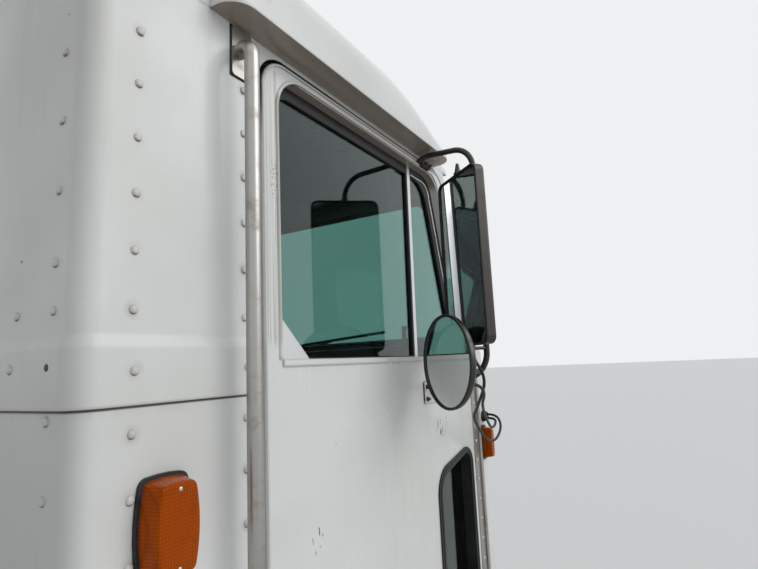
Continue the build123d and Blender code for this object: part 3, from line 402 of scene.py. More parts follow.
paint = {
    "white": (0.70, 0.71, 0.695),
    "film": (0.53, 0.52, 0.485),
    "streak": (0.36, 0.33, 0.28),
    "grime": (0.050, 0.036, 0.026),
    "mud": (0.30, 0.215, 0.15),
    "undersideShade": (0.20, 0.155, 0.118),
    "lining": (0.060, 0.060, 0.061),
    "chip": (0.06, 0.055, 0.05),
    "worn": (0.40, 0.375, 0.31),
    "soot": (0.37, 0.365, 0.34),
    "gap": (0.012, 0.011, 0.010),
    "filmCloud": (2.3, 0.38, 0.68, 5.0),
    "filmShare": 0.45,
    "patchCloud": (1.1, 0.40, 0.72, 2.0),
    "quarterFront": -0.378,
    "runsDrawn": 0.055,
    "runsNoise": (34.0, 4.0, 0.6),
    "runsLevels": (0.54, 0.80),
    "runsShares": (0.18, 0.30),
    "rearX": (-0.664, -0.640),
    "rearShadeAndSootShares": (0.30, 0.35),
    "seam": 0.9155,
    "lapShadowLine": ((-0.0042, -0.0018), (0.0, 0.0006)),
    "seamSmear": ((-0.016, -0.001), (0.0, 0.001)),
    "smearDrawn": 0.1,
    "smearCloud": (55.0, 0.3, 0.7),
    "lapShadowAndSmearShares": (0.9, 0.12),
    "rivetColumns": (-0.595, -0.412),
    "rivetStart": 0.0105,
    "rivetPitch": 0.07271,
    "haloArea": (0.000030, 0.00022),
    "haloCloud": (21.0, 0.35, 0.7),
    "haloShare": 0.42,
    "sideFace": (0.945, 0.949),
    "splashZ": (0.08, 0.50),
    "splashCloud": (7.0, 0.40, 0.70, 6.0, 0.65),
    "splashShare": 0.55,
    "undersideUp": (-0.75, -0.35),
    "undersideShadeShare": 0.9,
    "liningX": (0.640, 0.646),
    "liningY": (0.920, 0.926),
    "liningZ": ((0.09, 0.10), (1.700, 1.705)),
    "liningUp": (0.3, 0.35),
    "cowlX": (0.30, 0.31),
    "cowlAhead": (0.25, 0.30),
    "doorFace": (0.925, 0.928),
    "doorEdge": -0.350,
    "doorEdgeHalf": (0.016, 0.021),
    "doorEdgeZ": ((0.98, 1.0), (1.455, 1.470)),
    "linesDrawn": 0.006,
    "linesCloud": (300.0, 0.42, 0.66, 2.0),
    "linesShare": 0.8,
    "doorCorner": (-0.314, 1.424),
    "cornerGap": (0.0566, 0.0574, 0.0640, 0.0655),
    "gapX": (-0.20, -0.08),
    "gapY": (0.930, 0.935),
    "gapZ": (1.31, 1.42),
    "gapShadeShare": 0.94,
    "chipCells": 46.0,
    "chipSize": (0.07, 0.10),
    "chipCloud": (9.0, 0.66, 0.70, 2.0),
    "scuffs": ((0.266, 0.782, 0.034), (-0.248, 0.667, 0.030), (-0.194, 0.815, 0.008), (0.294, 0.801, 0.016)),
    "scuffDrawn": 0.26,
    "scuffCloud": (150.0, 0.60, 0.625, 2.0),
    "pits": (-0.345, 1.262),
    "pitsX": (0.005, 0.009),
    "pitsZ": (0.020, 0.045),
    "pitCells": 260.0,
    "pitSize": (0.24, 0.30),
    "foldRadius": 0.007,
    "waves": ((3.1, 1.0), (0.006, 0.55)),
    "peel": ((420.0, 1.0), (0.0002, 0.35)),
    "chipDepth": (0.0006, 0.6),
    "rough": {"own": 0.24, "film": 0.16, "runs": 0.12, "chips": 0.3, "splash": 0.25},
    "runsRough": (0.5, 0.8),
    "coat": (0.22, 0.12),
    "shader": {"Coat Roughness": 0.16, "Specular IOR Level": 0.42},
}


def lapShadowAndGrimeMask(at):
    # painted shadow in the lap joint of the quarter panel, and a faint grime smear under it
    above = at.z - paint["seam"]
    smear = within(above, *paint["seamSmear"])
    smear = smear * cloud(drawnDown(at.place, paint["smearDrawn"]), *paint["smearCloud"])
    lapShadowShare, smearShare = paint["lapShadowAndSmearShares"]
    return (within(above, *paint["lapShadowLine"]) * lapShadowShare).larger(smear * smearShare) * at.behind


def rivetMask(at):
    # a dull halo round each rivet of the side's two columns
    row = (at.z - paint["rivetStart"]) * (1 / paint["rivetPitch"])
    along = (row - row.pair("ROUND", row)) * paint["rivetPitch"]
    halos = 0
    for column in paint["rivetColumns"]:
        beside = at.x - column
        halos = halos + fadeOut(beside * beside + along * along, *paint["haloArea"])
    return halos * step(abs(at.y), *paint["sideFace"]) * cloud(at.place, *paint["haloCloud"]) * paint["haloShare"]


def liningMask(at):
    # faces inside the cab that don't look up or, near the cowl, ahead
    inside = fadeOut(abs(at.x), *paint["liningX"]) * fadeOut(abs(at.y), *paint["liningY"])
    inside = inside * within(at.z, *paint["liningZ"]) * fadeOut(at.up, *paint["liningUp"])
    return inside * (1 - step(at.x, *paint["cowlX"]) * step(at.ahead, *paint["cowlAhead"]))


def doorEdgeMask(at):
    # thin upright lines worn into the door's rear edge
    edge = fadeOut(abs(at.x - paint["doorEdge"]), *paint["doorEdgeHalf"]) * step(abs(at.y), *paint["doorFace"])
    lines = cloud(drawnDown(at.place, paint["linesDrawn"]), *paint["linesCloud"])
    return edge * within(at.z, *paint["doorEdgeZ"]) * lines * paint["linesShare"]


def cornerShadeMask(at):
    # painted shade: a dark band along the gap round the door's upper rear corner
    cornerX, cornerZ = paint["doorCorner"]
    aside = (at.x - cornerX).smaller(0.0)
    above = (at.z - cornerZ).larger(0.0)
    inner, innerFull, outerFull, outer = (r * r for r in paint["cornerGap"])
    gap = within(aside * aside + above * above, (inner, innerFull), (outerFull, outer))
    gap = gap * step(at.z, *paint["gapZ"]) * fadeOut(at.x, *paint["gapX"]) * step(abs(at.y), *paint["gapY"])
    return gap * paint["gapShadeShare"]


def chipMask(at):
    # rare chips all over, scuffs on the door and a few pits at its rear edge
    chips = fadeOut(cells(at.place, paint["chipCells"]), *paint["chipSize"]) * cloud(at.place, *paint["chipCloud"])
    marks = cloud(drawnDown(at.place, paint["scuffDrawn"]), *paint["scuffCloud"])
    for scuffX, scuffZ, reach in paint["scuffs"]:
        aside = at.x - scuffX
        above = at.z - scuffZ
        chips = chips + fadeOut(aside * aside + above * above, reach * reach * 0.3, reach * reach) * marks
    pitX, pitZ = paint["pits"]
    pitted = fadeOut(abs(at.x - pitX), *paint["pitsX"]) * fadeOut(abs(at.z - pitZ), *paint["pitsZ"])
    pitted = pitted * fadeOut(cells(at.place, paint["pitCells"]), *paint["pitSize"])
    chips = chips + pitted * step(abs(at.y), *paint["doorFace"])
    return chips.node("ShaderNodeClamp", None, {"Value": chips})


def makeCabPaint():
    material, shader, place = newMaterial("cab_paint")
    x, y, z = axes(place)
    ahead, _, up = normalAxes(place)
    behind = fadeOut(x - paint["quarterFront"], -0.001, 0.001)
    at = SimpleNamespace(place=place, x=x, y=y, z=z, ahead=ahead, up=up, behind=behind)
    film = cloud(place, *paint["filmCloud"])
    patches = cloud(place, *paint["patchCloud"])
    runs = noise(drawnDown(place, paint["runsDrawn"]), *paint["runsNoise"])
    runShare, runBehind = paint["runsShares"]
    rearShadeShare, sootPatches = paint["rearShadeAndSootShares"]
    splash = fadeOut(z, *paint["splashZ"]) * cloud(place, *paint["splashCloud"])
    chips = chipMask(at)
    layers = (
        (film * paint["filmShare"], "film"),
        (step(runs, *paint["runsLevels"]) * patches * (runShare + behind * runBehind), "streak"),
        # the rear wall: painted shade all over, as it faces away from the light, with patches of soot on top
        (fadeOut(x, *paint["rearX"]) * (rearShadeShare + patches * sootPatches), "soot"),
        # painted shadow line under the lap joint, with a faint grime smear below
        (lapShadowAndGrimeMask(at), "grime"),
        (rivetMask(at), "streak"),
        (splash * paint["splashShare"], "mud"),
        # painted shade on faces that look down, brown as a painted reflection of the ground
        (fadeOut(up, *paint["undersideUp"]) * paint["undersideShadeShare"], "undersideShade"),
        (liningMask(at), "lining"),
        (doorEdgeMask(at), "worn"),
        # painted shade along the gap round the door's upper rear corner
        (cornerShadeMask(at), "gap"),
        (chips, "chip"),
    )
    colour = paint["white"]
    for mask, name in layers:
        colour = blendColour(mask, colour, paint[name])
    normal = place.node("ShaderNodeBevel", {"samples": 4}, {"Radius": paint["foldRadius"]}, "Normal")
    for pattern, relief in (paint["waves"], paint["peel"]):
        normal = bump(noise(place, *pattern), *relief, normal)
    normal = bump(1 - chips, *paint["chipDepth"], normal)
    share = paint["rough"]
    rough = share["own"] + film * share["film"] + step(runs, *paint["runsRough"]) * share["runs"]
    rough = rough + chips * share["chips"] + splash * share["splash"]
    coat, coatFilm = paint["coat"]
    setShader(shader, paint["shader"], colour=colour, rough=rough, coat=coat - film * coatFilm, normal=normal)
    return material


metals = {
    "stainless": ((0.42, 0.41, 0.39), (0.25, 0.21, 0.17), 0.31, (300.0, 300.0, 4.0)),
    "bar_aluminium": ((0.70, 0.71, 0.71), (0.45, 0.44, 0.42), 0.30, (200.0, 200.0, 6.0)),
    "mirror_shell": ((0.072, 0.069, 0.064), (0.040, 0.034, 0.030), 0.28, (12.0, 12.0, 260.0)),
    "handle_chrome": ((0.72, 0.72, 0.71), (0.35, 0.32, 0.29), 0.09, (60.0, 60.0, 60.0)),
    "screw_steel": ((0.50, 0.49, 0.46), (0.24, 0.19, 0.14), 0.32, (90.0, 90.0, 90.0)),
    "stainCloud": (24.0, 0.50, 0.80, 5.0, 0.65),
    "stainShare": 0.75,
    "stainRough": 0.22,
    "brushLevels": (0.4, 0.8),
    "brushShare": 0.12,
    "brushRough": 0.06,
    "relief": (0.0002, 0.25),
}


def makeMetal(slot):
    base, dull, rough, grain = metals[slot]
    material, shader, place = newMaterial(slot)
    brushed = noise(stretch(place, *grain), 1.0)
    stain = cloud(place, *metals["stainCloud"])
    dullness = stain * metals["stainShare"] + step(brushed, *metals["brushLevels"]) * metals["brushShare"]
    setShader(shader, {"Metallic": 1.0}, colour=blendColour(dullness, base, dull),
              rough=rough + stain * metals["stainRough"] + brushed * metals["brushRough"],
              normal=bump(brushed, *metals["relief"]))
    return material


steel = {
    "patches": (14.0, 0.42, 0.72, 5.0, 0.6),
    "pattern": lambda place: noise(place, 260.0, 2.0),
    "relief": (0.0004, 0.4),
}
rubber = {
    "patches": (30.0, 0.48, 0.78, 5.0, 0.65),
    "share": 0.5,
    "rough": (0.5, 0.3),
    "pattern": lambda place: noise(place, 500.0, 2.0) * 0.4,
    "relief": (0.0003, 0.8),
    "shader": {"Specular IOR Level": 0.4},
}
finishes = {
    "frame_steel": {
        **steel,
        "colour": (0.022, 0.022, 0.023), "wear": (0.20, 0.155, 0.115),
        "share": 0.375, "lying": (0.2, 0.9, 0.375), "rough": (0.45, 0.25),
    },
    "black_steel": {
        **steel,
        "colour": (0.018, 0.017, 0.017), "wear": (0.11, 0.085, 0.065),
        "share": 0.25, "lying": (0.2, 0.9, 0.25), "rough": (0.38, 0.25),
    },
    "floor_mat": {
        **rubber,
        "colour": (0.030, 0.029, 0.028), "wear": (0.098, 0.0954, 0.0928),
        "pattern": lambda place: rubber["pattern"](place) + step((axes(place)[1] * 320.0).wave(), -0.2, 0.6),
        "relief": (0.0012, 0.8),
    },
    "seal_rubber": {**rubber, "colour": (0.012, 0.012, 0.012), "wear": (0.0512, 0.0512, 0.0512)},
    "cable_jacket": {**rubber, "colour": (0.014, 0.014, 0.014), "wear": (0.0564, 0.0564, 0.0564)},
    "window_glass": {
        "colour": (0.30, 0.49, 0.45), "wear": (0.62, 0.66, 0.62),
        "patches": (5.0, 0.45, 0.85, 6.0, 0.65),
        "share": 0.12, "rough": (0.0, 0.04),
        "runs": (0.08, (40.0, 0.58, 0.85), 0.08, 0.03),
        "shader": {"Transmission Weight": 1.0, "IOR": 1.5},
    },
    "mirror_glass": {
        "colour": (0.80, 0.82, 0.82), "wear": (0.50, 0.50, 0.48),
        "patches": (22.0, 0.52, 0.85, 6.0, 0.7),
        "share": 0.35, "rough": (0.02, 0.10),
        "shader": {"Metallic": 1.0},
    },
    "interior_plastic": {
        "colour": (0.055, 0.055, 0.058), "wear": (0.1125, 0.1125, 0.117),
        "patches": (9.0, 0.35, 0.75, 4.0),
        "share": 0.4, "lying": (0.4, 0.95, 0.25), "rough": (0.48, 0.16),
        "pattern": lambda place: cells(place, 300.0),
        "relief": (0.0004, 0.5),
    },
    "amber_lens": {
        "colour": (0.37, 0.060, 0.0006), "wear": (0.10, 0.026, 0.004),
        "patches": (40.0, 0.5, 0.8, 5.0),
        "share": 0.4, "rough": (0.18, 0.2),
        "pattern": lambda place: (axes(place)[0] * 1500.0).wave().larger((axes(place)[2] * 1500.0).wave()),
        "drawn": ((0.3, 1.0), 0.45, (0.17, 0.023, 0.0003)),
        "relief": (0.0004, 0.4),
        "shader": {"Specular IOR Level": 0.25, "Specular Tint": (1.0, 0.42, 0.12)},
    },
    "seat_fabric": {
        "colour": (0.100, 0.103, 0.115), "wear": (0.20, 0.19, 0.18),
        "patches": (12.0, 0.45, 0.8, 5.0),
        "share": 0.35, "rough": (0.8, 0.1),
        "pattern": lambda place: weave(place, 2100.0),
        "drawn": ((-0.3, 0.5), 0.5, (0.17, 0.172, 0.182)),
        "relief": (0.0005, 0.6),
        "shader": {"Sheen Weight": 0.3, "Sheen Roughness": 0.5},
    },
}


def weave(place, threads):
    x, y, z = axes(place)
    return ((x + z) * threads).wave() * (y * threads).wave()


def makeFinish(slot):
    # a colour with its pattern drawn in, worn in patches and dusty where it faces up
    given = finishes[slot]
    material, shader, place = newMaterial(slot)
    colour = given["colour"]
    if "pattern" in given:
        height = given["pattern"](place)
        setShader(shader, normal=bump(height, *given["relief"]))
    if "drawn" in given:
        levels, share, drawnColour = given["drawn"]
        colour = blendColour(step(height, *levels) * share, colour, drawnColour)
    patches = cloud(place, *given["patches"])
    wear = patches * given["share"]
    if "lying" in given:
        low, high, share = given["lying"]
        wear = wear + step(normalAxes(place)[2], low, high) * share
    rough, wornRough = given["rough"]
    rough = rough + patches * wornRough
    if "runs" in given:
        drawn, runsCloud, share, runsRough = given["runs"]
        runs = cloud(drawnDown(place, drawn), *runsCloud)
        wear = wear + runs * share
        rough = rough + runs * runsRough
    setShader(shader, given.get("shader"), colour=blendColour(wear, colour, given["wear"]), rough=rough)
    return material


materials = {"cab_paint": makeCabPaint()}
for slot in ("stainless", "bar_aluminium", "mirror_shell", "handle_chrome"):
    materials[slot] = makeMetal(slot)
for slot in finishes:
    materials[slot] = makeFinish(slot)
for part in frame["record"]["subparts"]:
    target = nodes[part["node"]]
    target.data.materials.clear()
    target.data.materials.append(materials[part["material_slot"]])
for cable in cableObjects:
    cable.data.materials.append(materials["cable_jacket"])
screwSteel = makeMetal("screw_steel")
print("materials are on every node")


headInputs = {"Head radius": "Float", "Head height": "Float", "Size spread": "Float", "Seed": "Int",
              "Material": "Material"}


def headTree():
    # fastener heads on the points of a mesh, each turned along its point's own direction
    tree = bpy.data.node_groups.new("fastenerHeads", "GeometryNodeTree")
    for label, kind in (("Geometry", "Geometry"), *headInputs.items()):
        tree.interface.new_socket(label, in_out="INPUT", socket_type="NodeSocket" + kind)
    tree.interface.new_socket("Geometry", in_out="OUTPUT", socket_type="NodeSocketGeometry")
    given = {socket.name: Wire(tree, socket) for socket in tree.nodes.new("NodeGroupInput").outputs}
    radius = given["Head radius"]
    spread = given["Size spread"]
    start = Wire(tree)
    ball = start.node("GeometryNodeMeshUVSphere", None, {"Segments": 12, "Rings": 7, "Radius": 1.0})
    sizes = start.node("ShaderNodeCombineXYZ", None, {0: radius, 1: radius, 2: given["Head height"]})
    head = start.node("GeometryNodeTransform", None, {"Geometry": ball, "Scale": sizes})
    head = start.node("GeometryNodeSetShadeSmooth", None, {"Geometry": head})
    direction = start.node("GeometryNodeInputNamedAttribute", {"data_type": "FLOAT_VECTOR"},
                           {"Name": "direction"}, "Attribute")
    turn = start.node("FunctionNodeAlignRotationToVector", {"axis": "Z"}, {"Vector": direction}, "Rotation")
    size = start.node("FunctionNodeRandomValue", {"data_type": "FLOAT"},
                      {2: 1 - spread, 3: 1 + spread, "Seed": given["Seed"]}, 1)
    heads = start.node("GeometryNodeInstanceOnPoints", None,
                       {"Points": given["Geometry"], "Instance": head, "Rotation": turn, "Scale": size})
    heads = start.node("GeometryNodeRealizeInstances", None, {"Geometry": heads})
    heads = start.node("GeometryNodeSetMaterial", None, {"Geometry": heads, "Material": given["Material"]})
    tree.links.new(heads.socket, tree.nodes.new("NodeGroupOutput").inputs["Geometry"])
    return tree


headNodes = headTree()


def headsOn(name, places, head, material, body, slot):
    # places are (point, direction) pairs; the result is a plain mesh
    mesh = bpy.data.meshes.new(name)
    mesh.from_pydata([p for p, _ in places], [], [])
    attribute = mesh.attributes.new("direction", "FLOAT_VECTOR", "POINT")
    attribute.data.foreach_set("vector", [c for _, d in places for c in d])
    holder = bpy.data.objects.new(name + "Points", mesh)
    scene.collection.objects.link(holder)
    modifier = holder.modifiers.new("heads", "NODES")
    modifier.node_group = headNodes
    given = dict(zip(headInputs, (*head, material)))
    for item in headNodes.interface.items_tree:
        if item.in_out == "INPUT" and item.name in given:
            modifier[item.identifier] = given[item.name]
    return placed(addObject(name, meshOf(holder), smooth=False), body, slot)


# each "head" is a radius, a height, a spread of sizes and a seed
rivets = {
    "head": (0.0062, 0.0036, 0.05, 3),
    "columns": (-0.595, -0.412),
    "lowest": 0.0833,
    "pitch": 0.0727,
    "count": 20,
}
skin = {"seam": 0.9155, "bandTop": 0.984, "below": 0.9525, "band": 0.955, "above": 0.950, "rearInset": 0.290}


def skinHalfWidth(z):
    if z < skin["seam"]:
        return skin["below"]
    return skin["band"] if z < skin["bandTop"] else skin["above"]


rearWall = {
    "columns": (0.899, 0.455),
    "heights": (1.436, 1.347, 1.258, 1.170, 1.083, 0.904, 0.820, 0.740, 0.660, 0.580, 0.500, 0.420, 0.340, 0.260,
                0.180),
    "rows": (1.027, 0.963, 0.095),
    "rowStart": -0.899,
    "pitch": 0.0799,
    "count": 23,
    "hole": (-0.899, 0.963),
    "holeFace": -0.6651,
    "holeShadeDisc": (0.0046, 0.0005, 0.0, 7),
}
heights = [rivets["lowest"] + k * rivets["pitch"] for k in range(rivets["count"])]
rivetPlaces = [((x, sign * skinHalfWidth(z), z), (0, sign, 0))
               for sign in (-1, 1) for x in rivets["columns"] for z in heights]
across = [rearWall["rowStart"] + k * rearWall["pitch"] for k in range(rearWall["count"])]
spots = [(sign * y, z) for y in rearWall["columns"] for sign in (-1, 1) for z in rearWall["heights"]]
spots += [(y, z) for z in rearWall["rows"] for y in across if (y, z) != rearWall["hole"]]
rivetPlaces += [((skin["rearInset"] - skinHalfWidth(z), y, z), (-1, 0, 0)) for y, z in spots]
headsOn("cabRivets", rivetPlaces, rivets["head"], materials["cab_paint"], "cab", "cab_paint")
print("rivets are set")

doors = (("door_right", -1), ("door_left", 1))
trim = {
    "window": ((-0.3350, 0.9660), (-0.3350, 1.4670), (0.3287, 1.4670), (0.4820, 0.9660)),
    "windowRounds": (0.071, 0.055),
    "edge": ((0.480, 0.124), (-0.368, 0.124), (-0.368, 1.478), (0.3611, 1.478), (0.5170, 0.968)),
    "edgeRounds": (0.026, 0.054, 0.056),
    "ventFrame": ((0.2140, 1.4420), (0.3105, 1.4420), (0.4553, 0.9690)),
    "ventRounds": (0.040,),
    "peep": ((0.2360, 0.3390), (0.4540, 0.3390), (0.4540, 0.7155), (0.2360, 0.6745)),
    "peepRounds": (0.037, 0.037, 0.040, 0.061),
    "bead": 0.0038,
    "edgeBead": 0.00304,
    "ventLine": 0.0015,
    "face": 0.9525,
    "channelFace": 0.9318,
    "gasketFace": 0.9565,
    "lock": 0.0019,
}


def openPath(corners, radii, y, steps=10):
    corners = onSide(corners, y)
    points = [corners[0]]
    for i, radius in enumerate(radii):
        points += arcRound(corners[i + 1], corners[i], corners[i + 2], radius, steps)
    return points + [corners[-1]]


for body, sign in doors:
    face = sign * trim["face"]
    window = openPath(trim["window"], trim["windowRounds"], face)
    edge = openPath(trim["edge"], trim["edgeRounds"], face)
    beads = [sweepTube("bead", window, trim["bead"], 8), sweepTube("bead", edge, trim["edgeBead"], 8)]
    joined(body + "_beads", beads, body, "cab_paint")
    vent = openPath(trim["ventFrame"], trim["ventRounds"], sign * trim["channelFace"])
    joined(body + "_ventFrame", [sweepTube("line", vent, trim["ventLine"], 6)], body, "bar_aluminium")
peep = roundedLoop(onSide(trim["peep"], -trim["gasketFace"]), trim["peepRounds"])
joined("peepLock", [loopTube(peep, trim["lock"])], "door_right", "seal_rubber")

panes = {
    "screenFoot": (0.56817, 0.0, 0.985),
    "screenLean": 17.0,
    "screenMiddle": (0.4555, 0.2557),
    "screenHalf": (0.4255, 0.2147),
    "screenRound": 0.039,
    "screenSink": 0.0135,
    "rearMiddle": (-0.6602, 0.0, 1.245),
    "rearHalf": (0.392, 0.172),
    "rearRound": 0.053,
}
lean = math.radians(panes["screenLean"])
screenUp = Vector((-math.sin(lean), 0, math.cos(lean)))
screenAhead = Vector((math.cos(lean), 0, math.sin(lean)))
locks = []
for sign in (-1, 1):
    across, rise = panes["screenMiddle"]
    middle = Vector(panes["screenFoot"]) + Vector((0, sign * across, 0)) + screenUp * rise
    middle -= screenAhead * panes["screenSink"]
    width, height = panes["screenHalf"]
    locks.append(frameLoop(middle, Vector((0, width, 0)), screenUp * height, panes["screenRound"], trim["lock"]))
locks.append(crossFrame(panes["rearMiddle"], panes["rearHalf"], panes["rearRound"], trim["lock"]))
joined("paneLocks", locks, "cab", "seal_rubber")
print("beads and lock strips are on")

hinges = {
    "x": 0.5005,
    "face": 0.9555,
    "lowest": 0.192,
    "pitch": 0.0528,
    "count": 15,
    "head": (0.0048, 0.0021, 0.02, 5),
}
heights = [hinges["lowest"] + i * hinges["pitch"] for i in range(hinges["count"])]
for body, sign in doors:
    places = [((hinges["x"], sign * hinges["face"], z), (0, sign, 0)) for z in heights]
    headsOn(body + "_hingeScrews", places, hinges["head"], screwSteel, body, "stainless")

plates = {
    "x": (-0.438, -0.396),
    "faces": ((1.451, 0.9500, 0.9540), (0.530, 0.9525, 0.9565)),
    "half": 0.042,
    "lap": 0.0022,
    "depths": (-0.0004, 0.0013),
    "bevel": 0.0005,
    "boltX": -0.4050,
    "boltRises": (-0.0285, 0.0285),
    "boltHead": (0.0052, 0.0026, 0.02, 9),
}
boltPlaces = []
gaskets = []
for sign in (-1, 1):
    for z, skinFace, plateFace in plates["faces"]:
        boltPlaces += [((plates["boltX"], sign * plateFace, z + rise), (0, sign, 0)) for rise in plates["boltRises"]]
        near, far = sorted(sign * (skinFace + depth) for depth in plates["depths"])
        (rear, front), lap = plates["x"], plates["lap"]
        edge = plates["half"] + lap
        gaskets.append(roundedBox((rear - lap, near, z - edge), (front + lap, far, z + edge), plates["bevel"], 1))
joined("plateGaskets", gaskets, "cab", "seal_rubber", smooth=False)

lampScrews = {
    "side": (-0.5530, 0.9868, (0.8165, 0.7285)),
    "cowl": (0.560, 0.9848, (0.7455, 0.6720)),
    "head": (0.0030, 0.0013, 0.02, 4),
}
lensPlaces = [((x, sign * face, z), (0, sign, 0)) for sign in (-1, 1)
              for x, face, heights in (lampScrews["side"], lampScrews["cowl"]) for z in heights]
headsOn("lensScrews", lensPlaces, lampScrews["head"], screwSteel, "cab", "stainless")
headsOn("cabBolts", boltPlaces, plates["boltHead"], screwSteel, "cab", "stainless")
# a flat black disc is painted shade for the empty rivet hole
headsOn("emptyHole", [((rearWall["holeFace"], *rearWall["hole"]), (-1, 0, 0))], rearWall["holeShadeDisc"],
        materials["black_steel"], "cab", "black_steel")

mirrors = {
    "tube": (0.1916, 1.1129),
    "studHeights": (1.315, 1.055),
    "studDirection": (0.772, 0.636),
    "studReach": 0.0085,
    "clamp": ((0.0072, -0.017), (0.0104, -0.015), (0.0104, 0.015), (0.0072, 0.017)),
    "nut": ((0.0062, 0.0), (0.0062, 0.0045), (0.0035, 0.0052), (0.0035, 0.009)),
    "headMiddle": (0.1454, 1.084, 1.185),
    "headYaw": 39.5,
    "headHalf": (0.0882, 0.2002),
    "headRound": 0.0165,
    "dishMiddle": (0.064, 1.065, 0.949),
    "dishYaw": 37.0,
    "dishRadius": 0.0988,
    "rim": 0.0030,
    "cover": ((0.1776, 0.8512), (0.2424, 0.9034)),
    "coverFaces": (0.9554, 0.9562),
    "coverBevel": 0.0003,
    "lowerBolts": (0.9555, ((0.1890, 0.8625), (0.1890, 0.8915))),
    "upperBolts": (0.9665, ((0.2380, 1.4720), (0.2600, 1.4720))),
}


def mirrorFace(kind, sign):
    # the middle of a mirror's face, and the level direction across it
    x, y, z = mirrors[kind + "Middle"]
    turn = math.radians(mirrors[kind + "Yaw"])
    return Vector((x, sign * y, z)), Vector((math.sin(turn), -sign * math.cos(turn), 0))


def mirrorDetails(body, sign):
    x, y = mirrors["tube"]
    ahead, aside = mirrors["studDirection"]
    outward = Vector((ahead, sign * aside, 0))
    metal = []
    for z in mirrors["studHeights"]:
        stud = Vector((x, sign * y, z))
        metal.append(turned(mirrors["clamp"], stud, (0, 0, 1), 20))
        metal.append(turned(mirrors["nut"], stud + outward * mirrors["studReach"], outward, 6))
    for face, points in (mirrors["lowerBolts"], mirrors["upperBolts"]):
        metal += [turned(mirrors["nut"], (px, sign * face, pz), (0, sign, 0), 6) for px, pz in points]
    joined(body + "_mirrorClamps", metal, body, "black_steel")
    near, far = sorted(sign * face for face in mirrors["coverFaces"])
    (rear, low), (front, high) = mirrors["cover"]
    cover = roundedBox((rear, near, low), (front, far, high), mirrors["coverBevel"], 1)
    joined(body + "_footCover", [cover], body, "cab_paint", smooth=False)
    middle, along = mirrorFace("head", sign)
    width, height = mirrors["headHalf"]
    headRim = frameLoop(middle, along * width, Vector((0, 0, height)), mirrors["headRound"], mirrors["rim"])
    middle, along = mirrorFace("dish", sign)
    ring = circlePoints(middle, along, Vector((0, 0, 1)), mirrors["dishRadius"], 48)
    joined(body + "_mirrorRims", [headRim, loopTube(ring, mirrors["rim"])], body, "seal_rubber")


for body, sign in doors:
    mirrorDetails(body, sign)
print("screws, gaskets and mirror rims are on")

dials = {
    "face": 0.3248,
    "axis": (-1, 0, 0),
    "large": (0.047, 11, ((0.385, 0.800), (0.515, 0.800))),
    "small": (0.021, 5, ((0.450, 0.842), (0.450, 0.792), (0.300, 0.825), (0.300, 0.768), (0.600, 0.825),
                         (0.600, 0.768))),
    "bezel": ((1.0, 0.0), (1.0, 0.006), (0.94, 0.0085), (0.88, 0.0085), (0.86, 0.0025)),
    "plate": ((0.88, 0.0), (0.88, 0.0032)),
    "sides": 36,
    "sweep": 240.0,
    "markReach": 0.72,
    "markSize": 0.045,
    "markLift": 0.0034,
    "needle": (0.0011, -0.16, 0.66),
    "needleLift": 0.0046,
    "thin": 0.0004,
    "bevel": 0.0002,
}


def dialMarks(origin, radius, count):
    # the marks round one dial, then its needle, which stands differently on each
    thin, bevel = dials["thin"], dials["bevel"]
    half = Vector((thin, radius * dials["markSize"], radius * dials["markSize"]))
    marks = []
    for k in range(count):
        angle = math.radians(dials["sweep"] * (k / (count - 1) - 0.5))
        outward = Vector((0, math.sin(angle), math.cos(angle))) * radius * dials["markReach"]
        middle = origin + outward - Vector((dials["markLift"], 0, 0))
        marks.append(roundedBox(middle - half, middle + half, bevel, 1))
    side, tail, tip = dials["needle"]
    turn = Matrix.Rotation(math.radians(-55 + 400 * origin.y % 60), 4, "X")
    tilt = Matrix.Translation(origin - Vector((dials["needleLift"], 0, 0))) @ turn
    marks.append(roundedBox((-thin, -side, radius * tail), (thin, side, radius * tip), bevel, 1, tilt))
    return marks


bezels = []
faces = []
marks = []
for radius, count, places in (dials["large"], dials["small"]):
    for y, z in places:
        origin = Vector((dials["face"], y, z))
        for meshes, profile in ((bezels, dials["bezel"]), (faces, dials["plate"])):
            scaled = [(radius * share, height) for share, height in profile]
            meshes.append(turned(scaled, origin, dials["axis"], dials["sides"]))
        marks += dialMarks(origin, radius, count)
joined("dialBezels", bezels, "cab", "handle_chrome")
joined("dialFaces", faces, "cab", "seal_rubber")
joined("dialMarks", marks, "cab", "cab_paint", smooth=False)

dash = {
    "face": 0.3648,
    "glovebox": ((0.3648, -0.530, 0.730), (0.190, 0.070), 0.016, 0.0016),
    "vents": ((-0.800, 0.845), (-0.140, 0.845), (0.150, 0.845), (0.800, 0.845)),
    "ventFrame": ((0.060, 0.024), 0.008, 0.0024),
    "slatRises": (-0.0170, -0.0085, 0.0, 0.0085, 0.0170),
    "slatTilt": 0.6,
    "slat": ((-0.006, -0.0564, -0.00175), (0.0024, 0.0564, 0.00175), 0.0008, 1),
    "switches": (0.300, 0.345, 0.390, 0.435, 0.480, 0.525, 0.570),
    "switchHeight": 0.738,
    "switchTilt": 0.25,
    "switch": ((-0.007, -0.013, -0.009), (0.003, 0.013, 0.009), 0.0016, 2),
}


def tilted(x, y, z, angle):
    return Matrix.Translation((x, y, z)) @ Matrix.Rotation(angle, 4, "Y")


fittings = [crossFrame(*dash["glovebox"])]
for y, z in dash["vents"]:
    fittings.append(crossFrame((dash["face"], y, z), *dash["ventFrame"]))
    fittings += [roundedBox(*dash["slat"], tilted(dash["face"], y, z + rise, dash["slatTilt"]))
                 for rise in dash["slatRises"]]
for y in dash["switches"]:
    tilt = tilted(dials["face"], y, dash["switchHeight"], dash["switchTilt"])
    fittings.append(roundedBox(*dash["switch"], tilt))
joined("dashFittings", fittings, "cab", "interior_plastic")

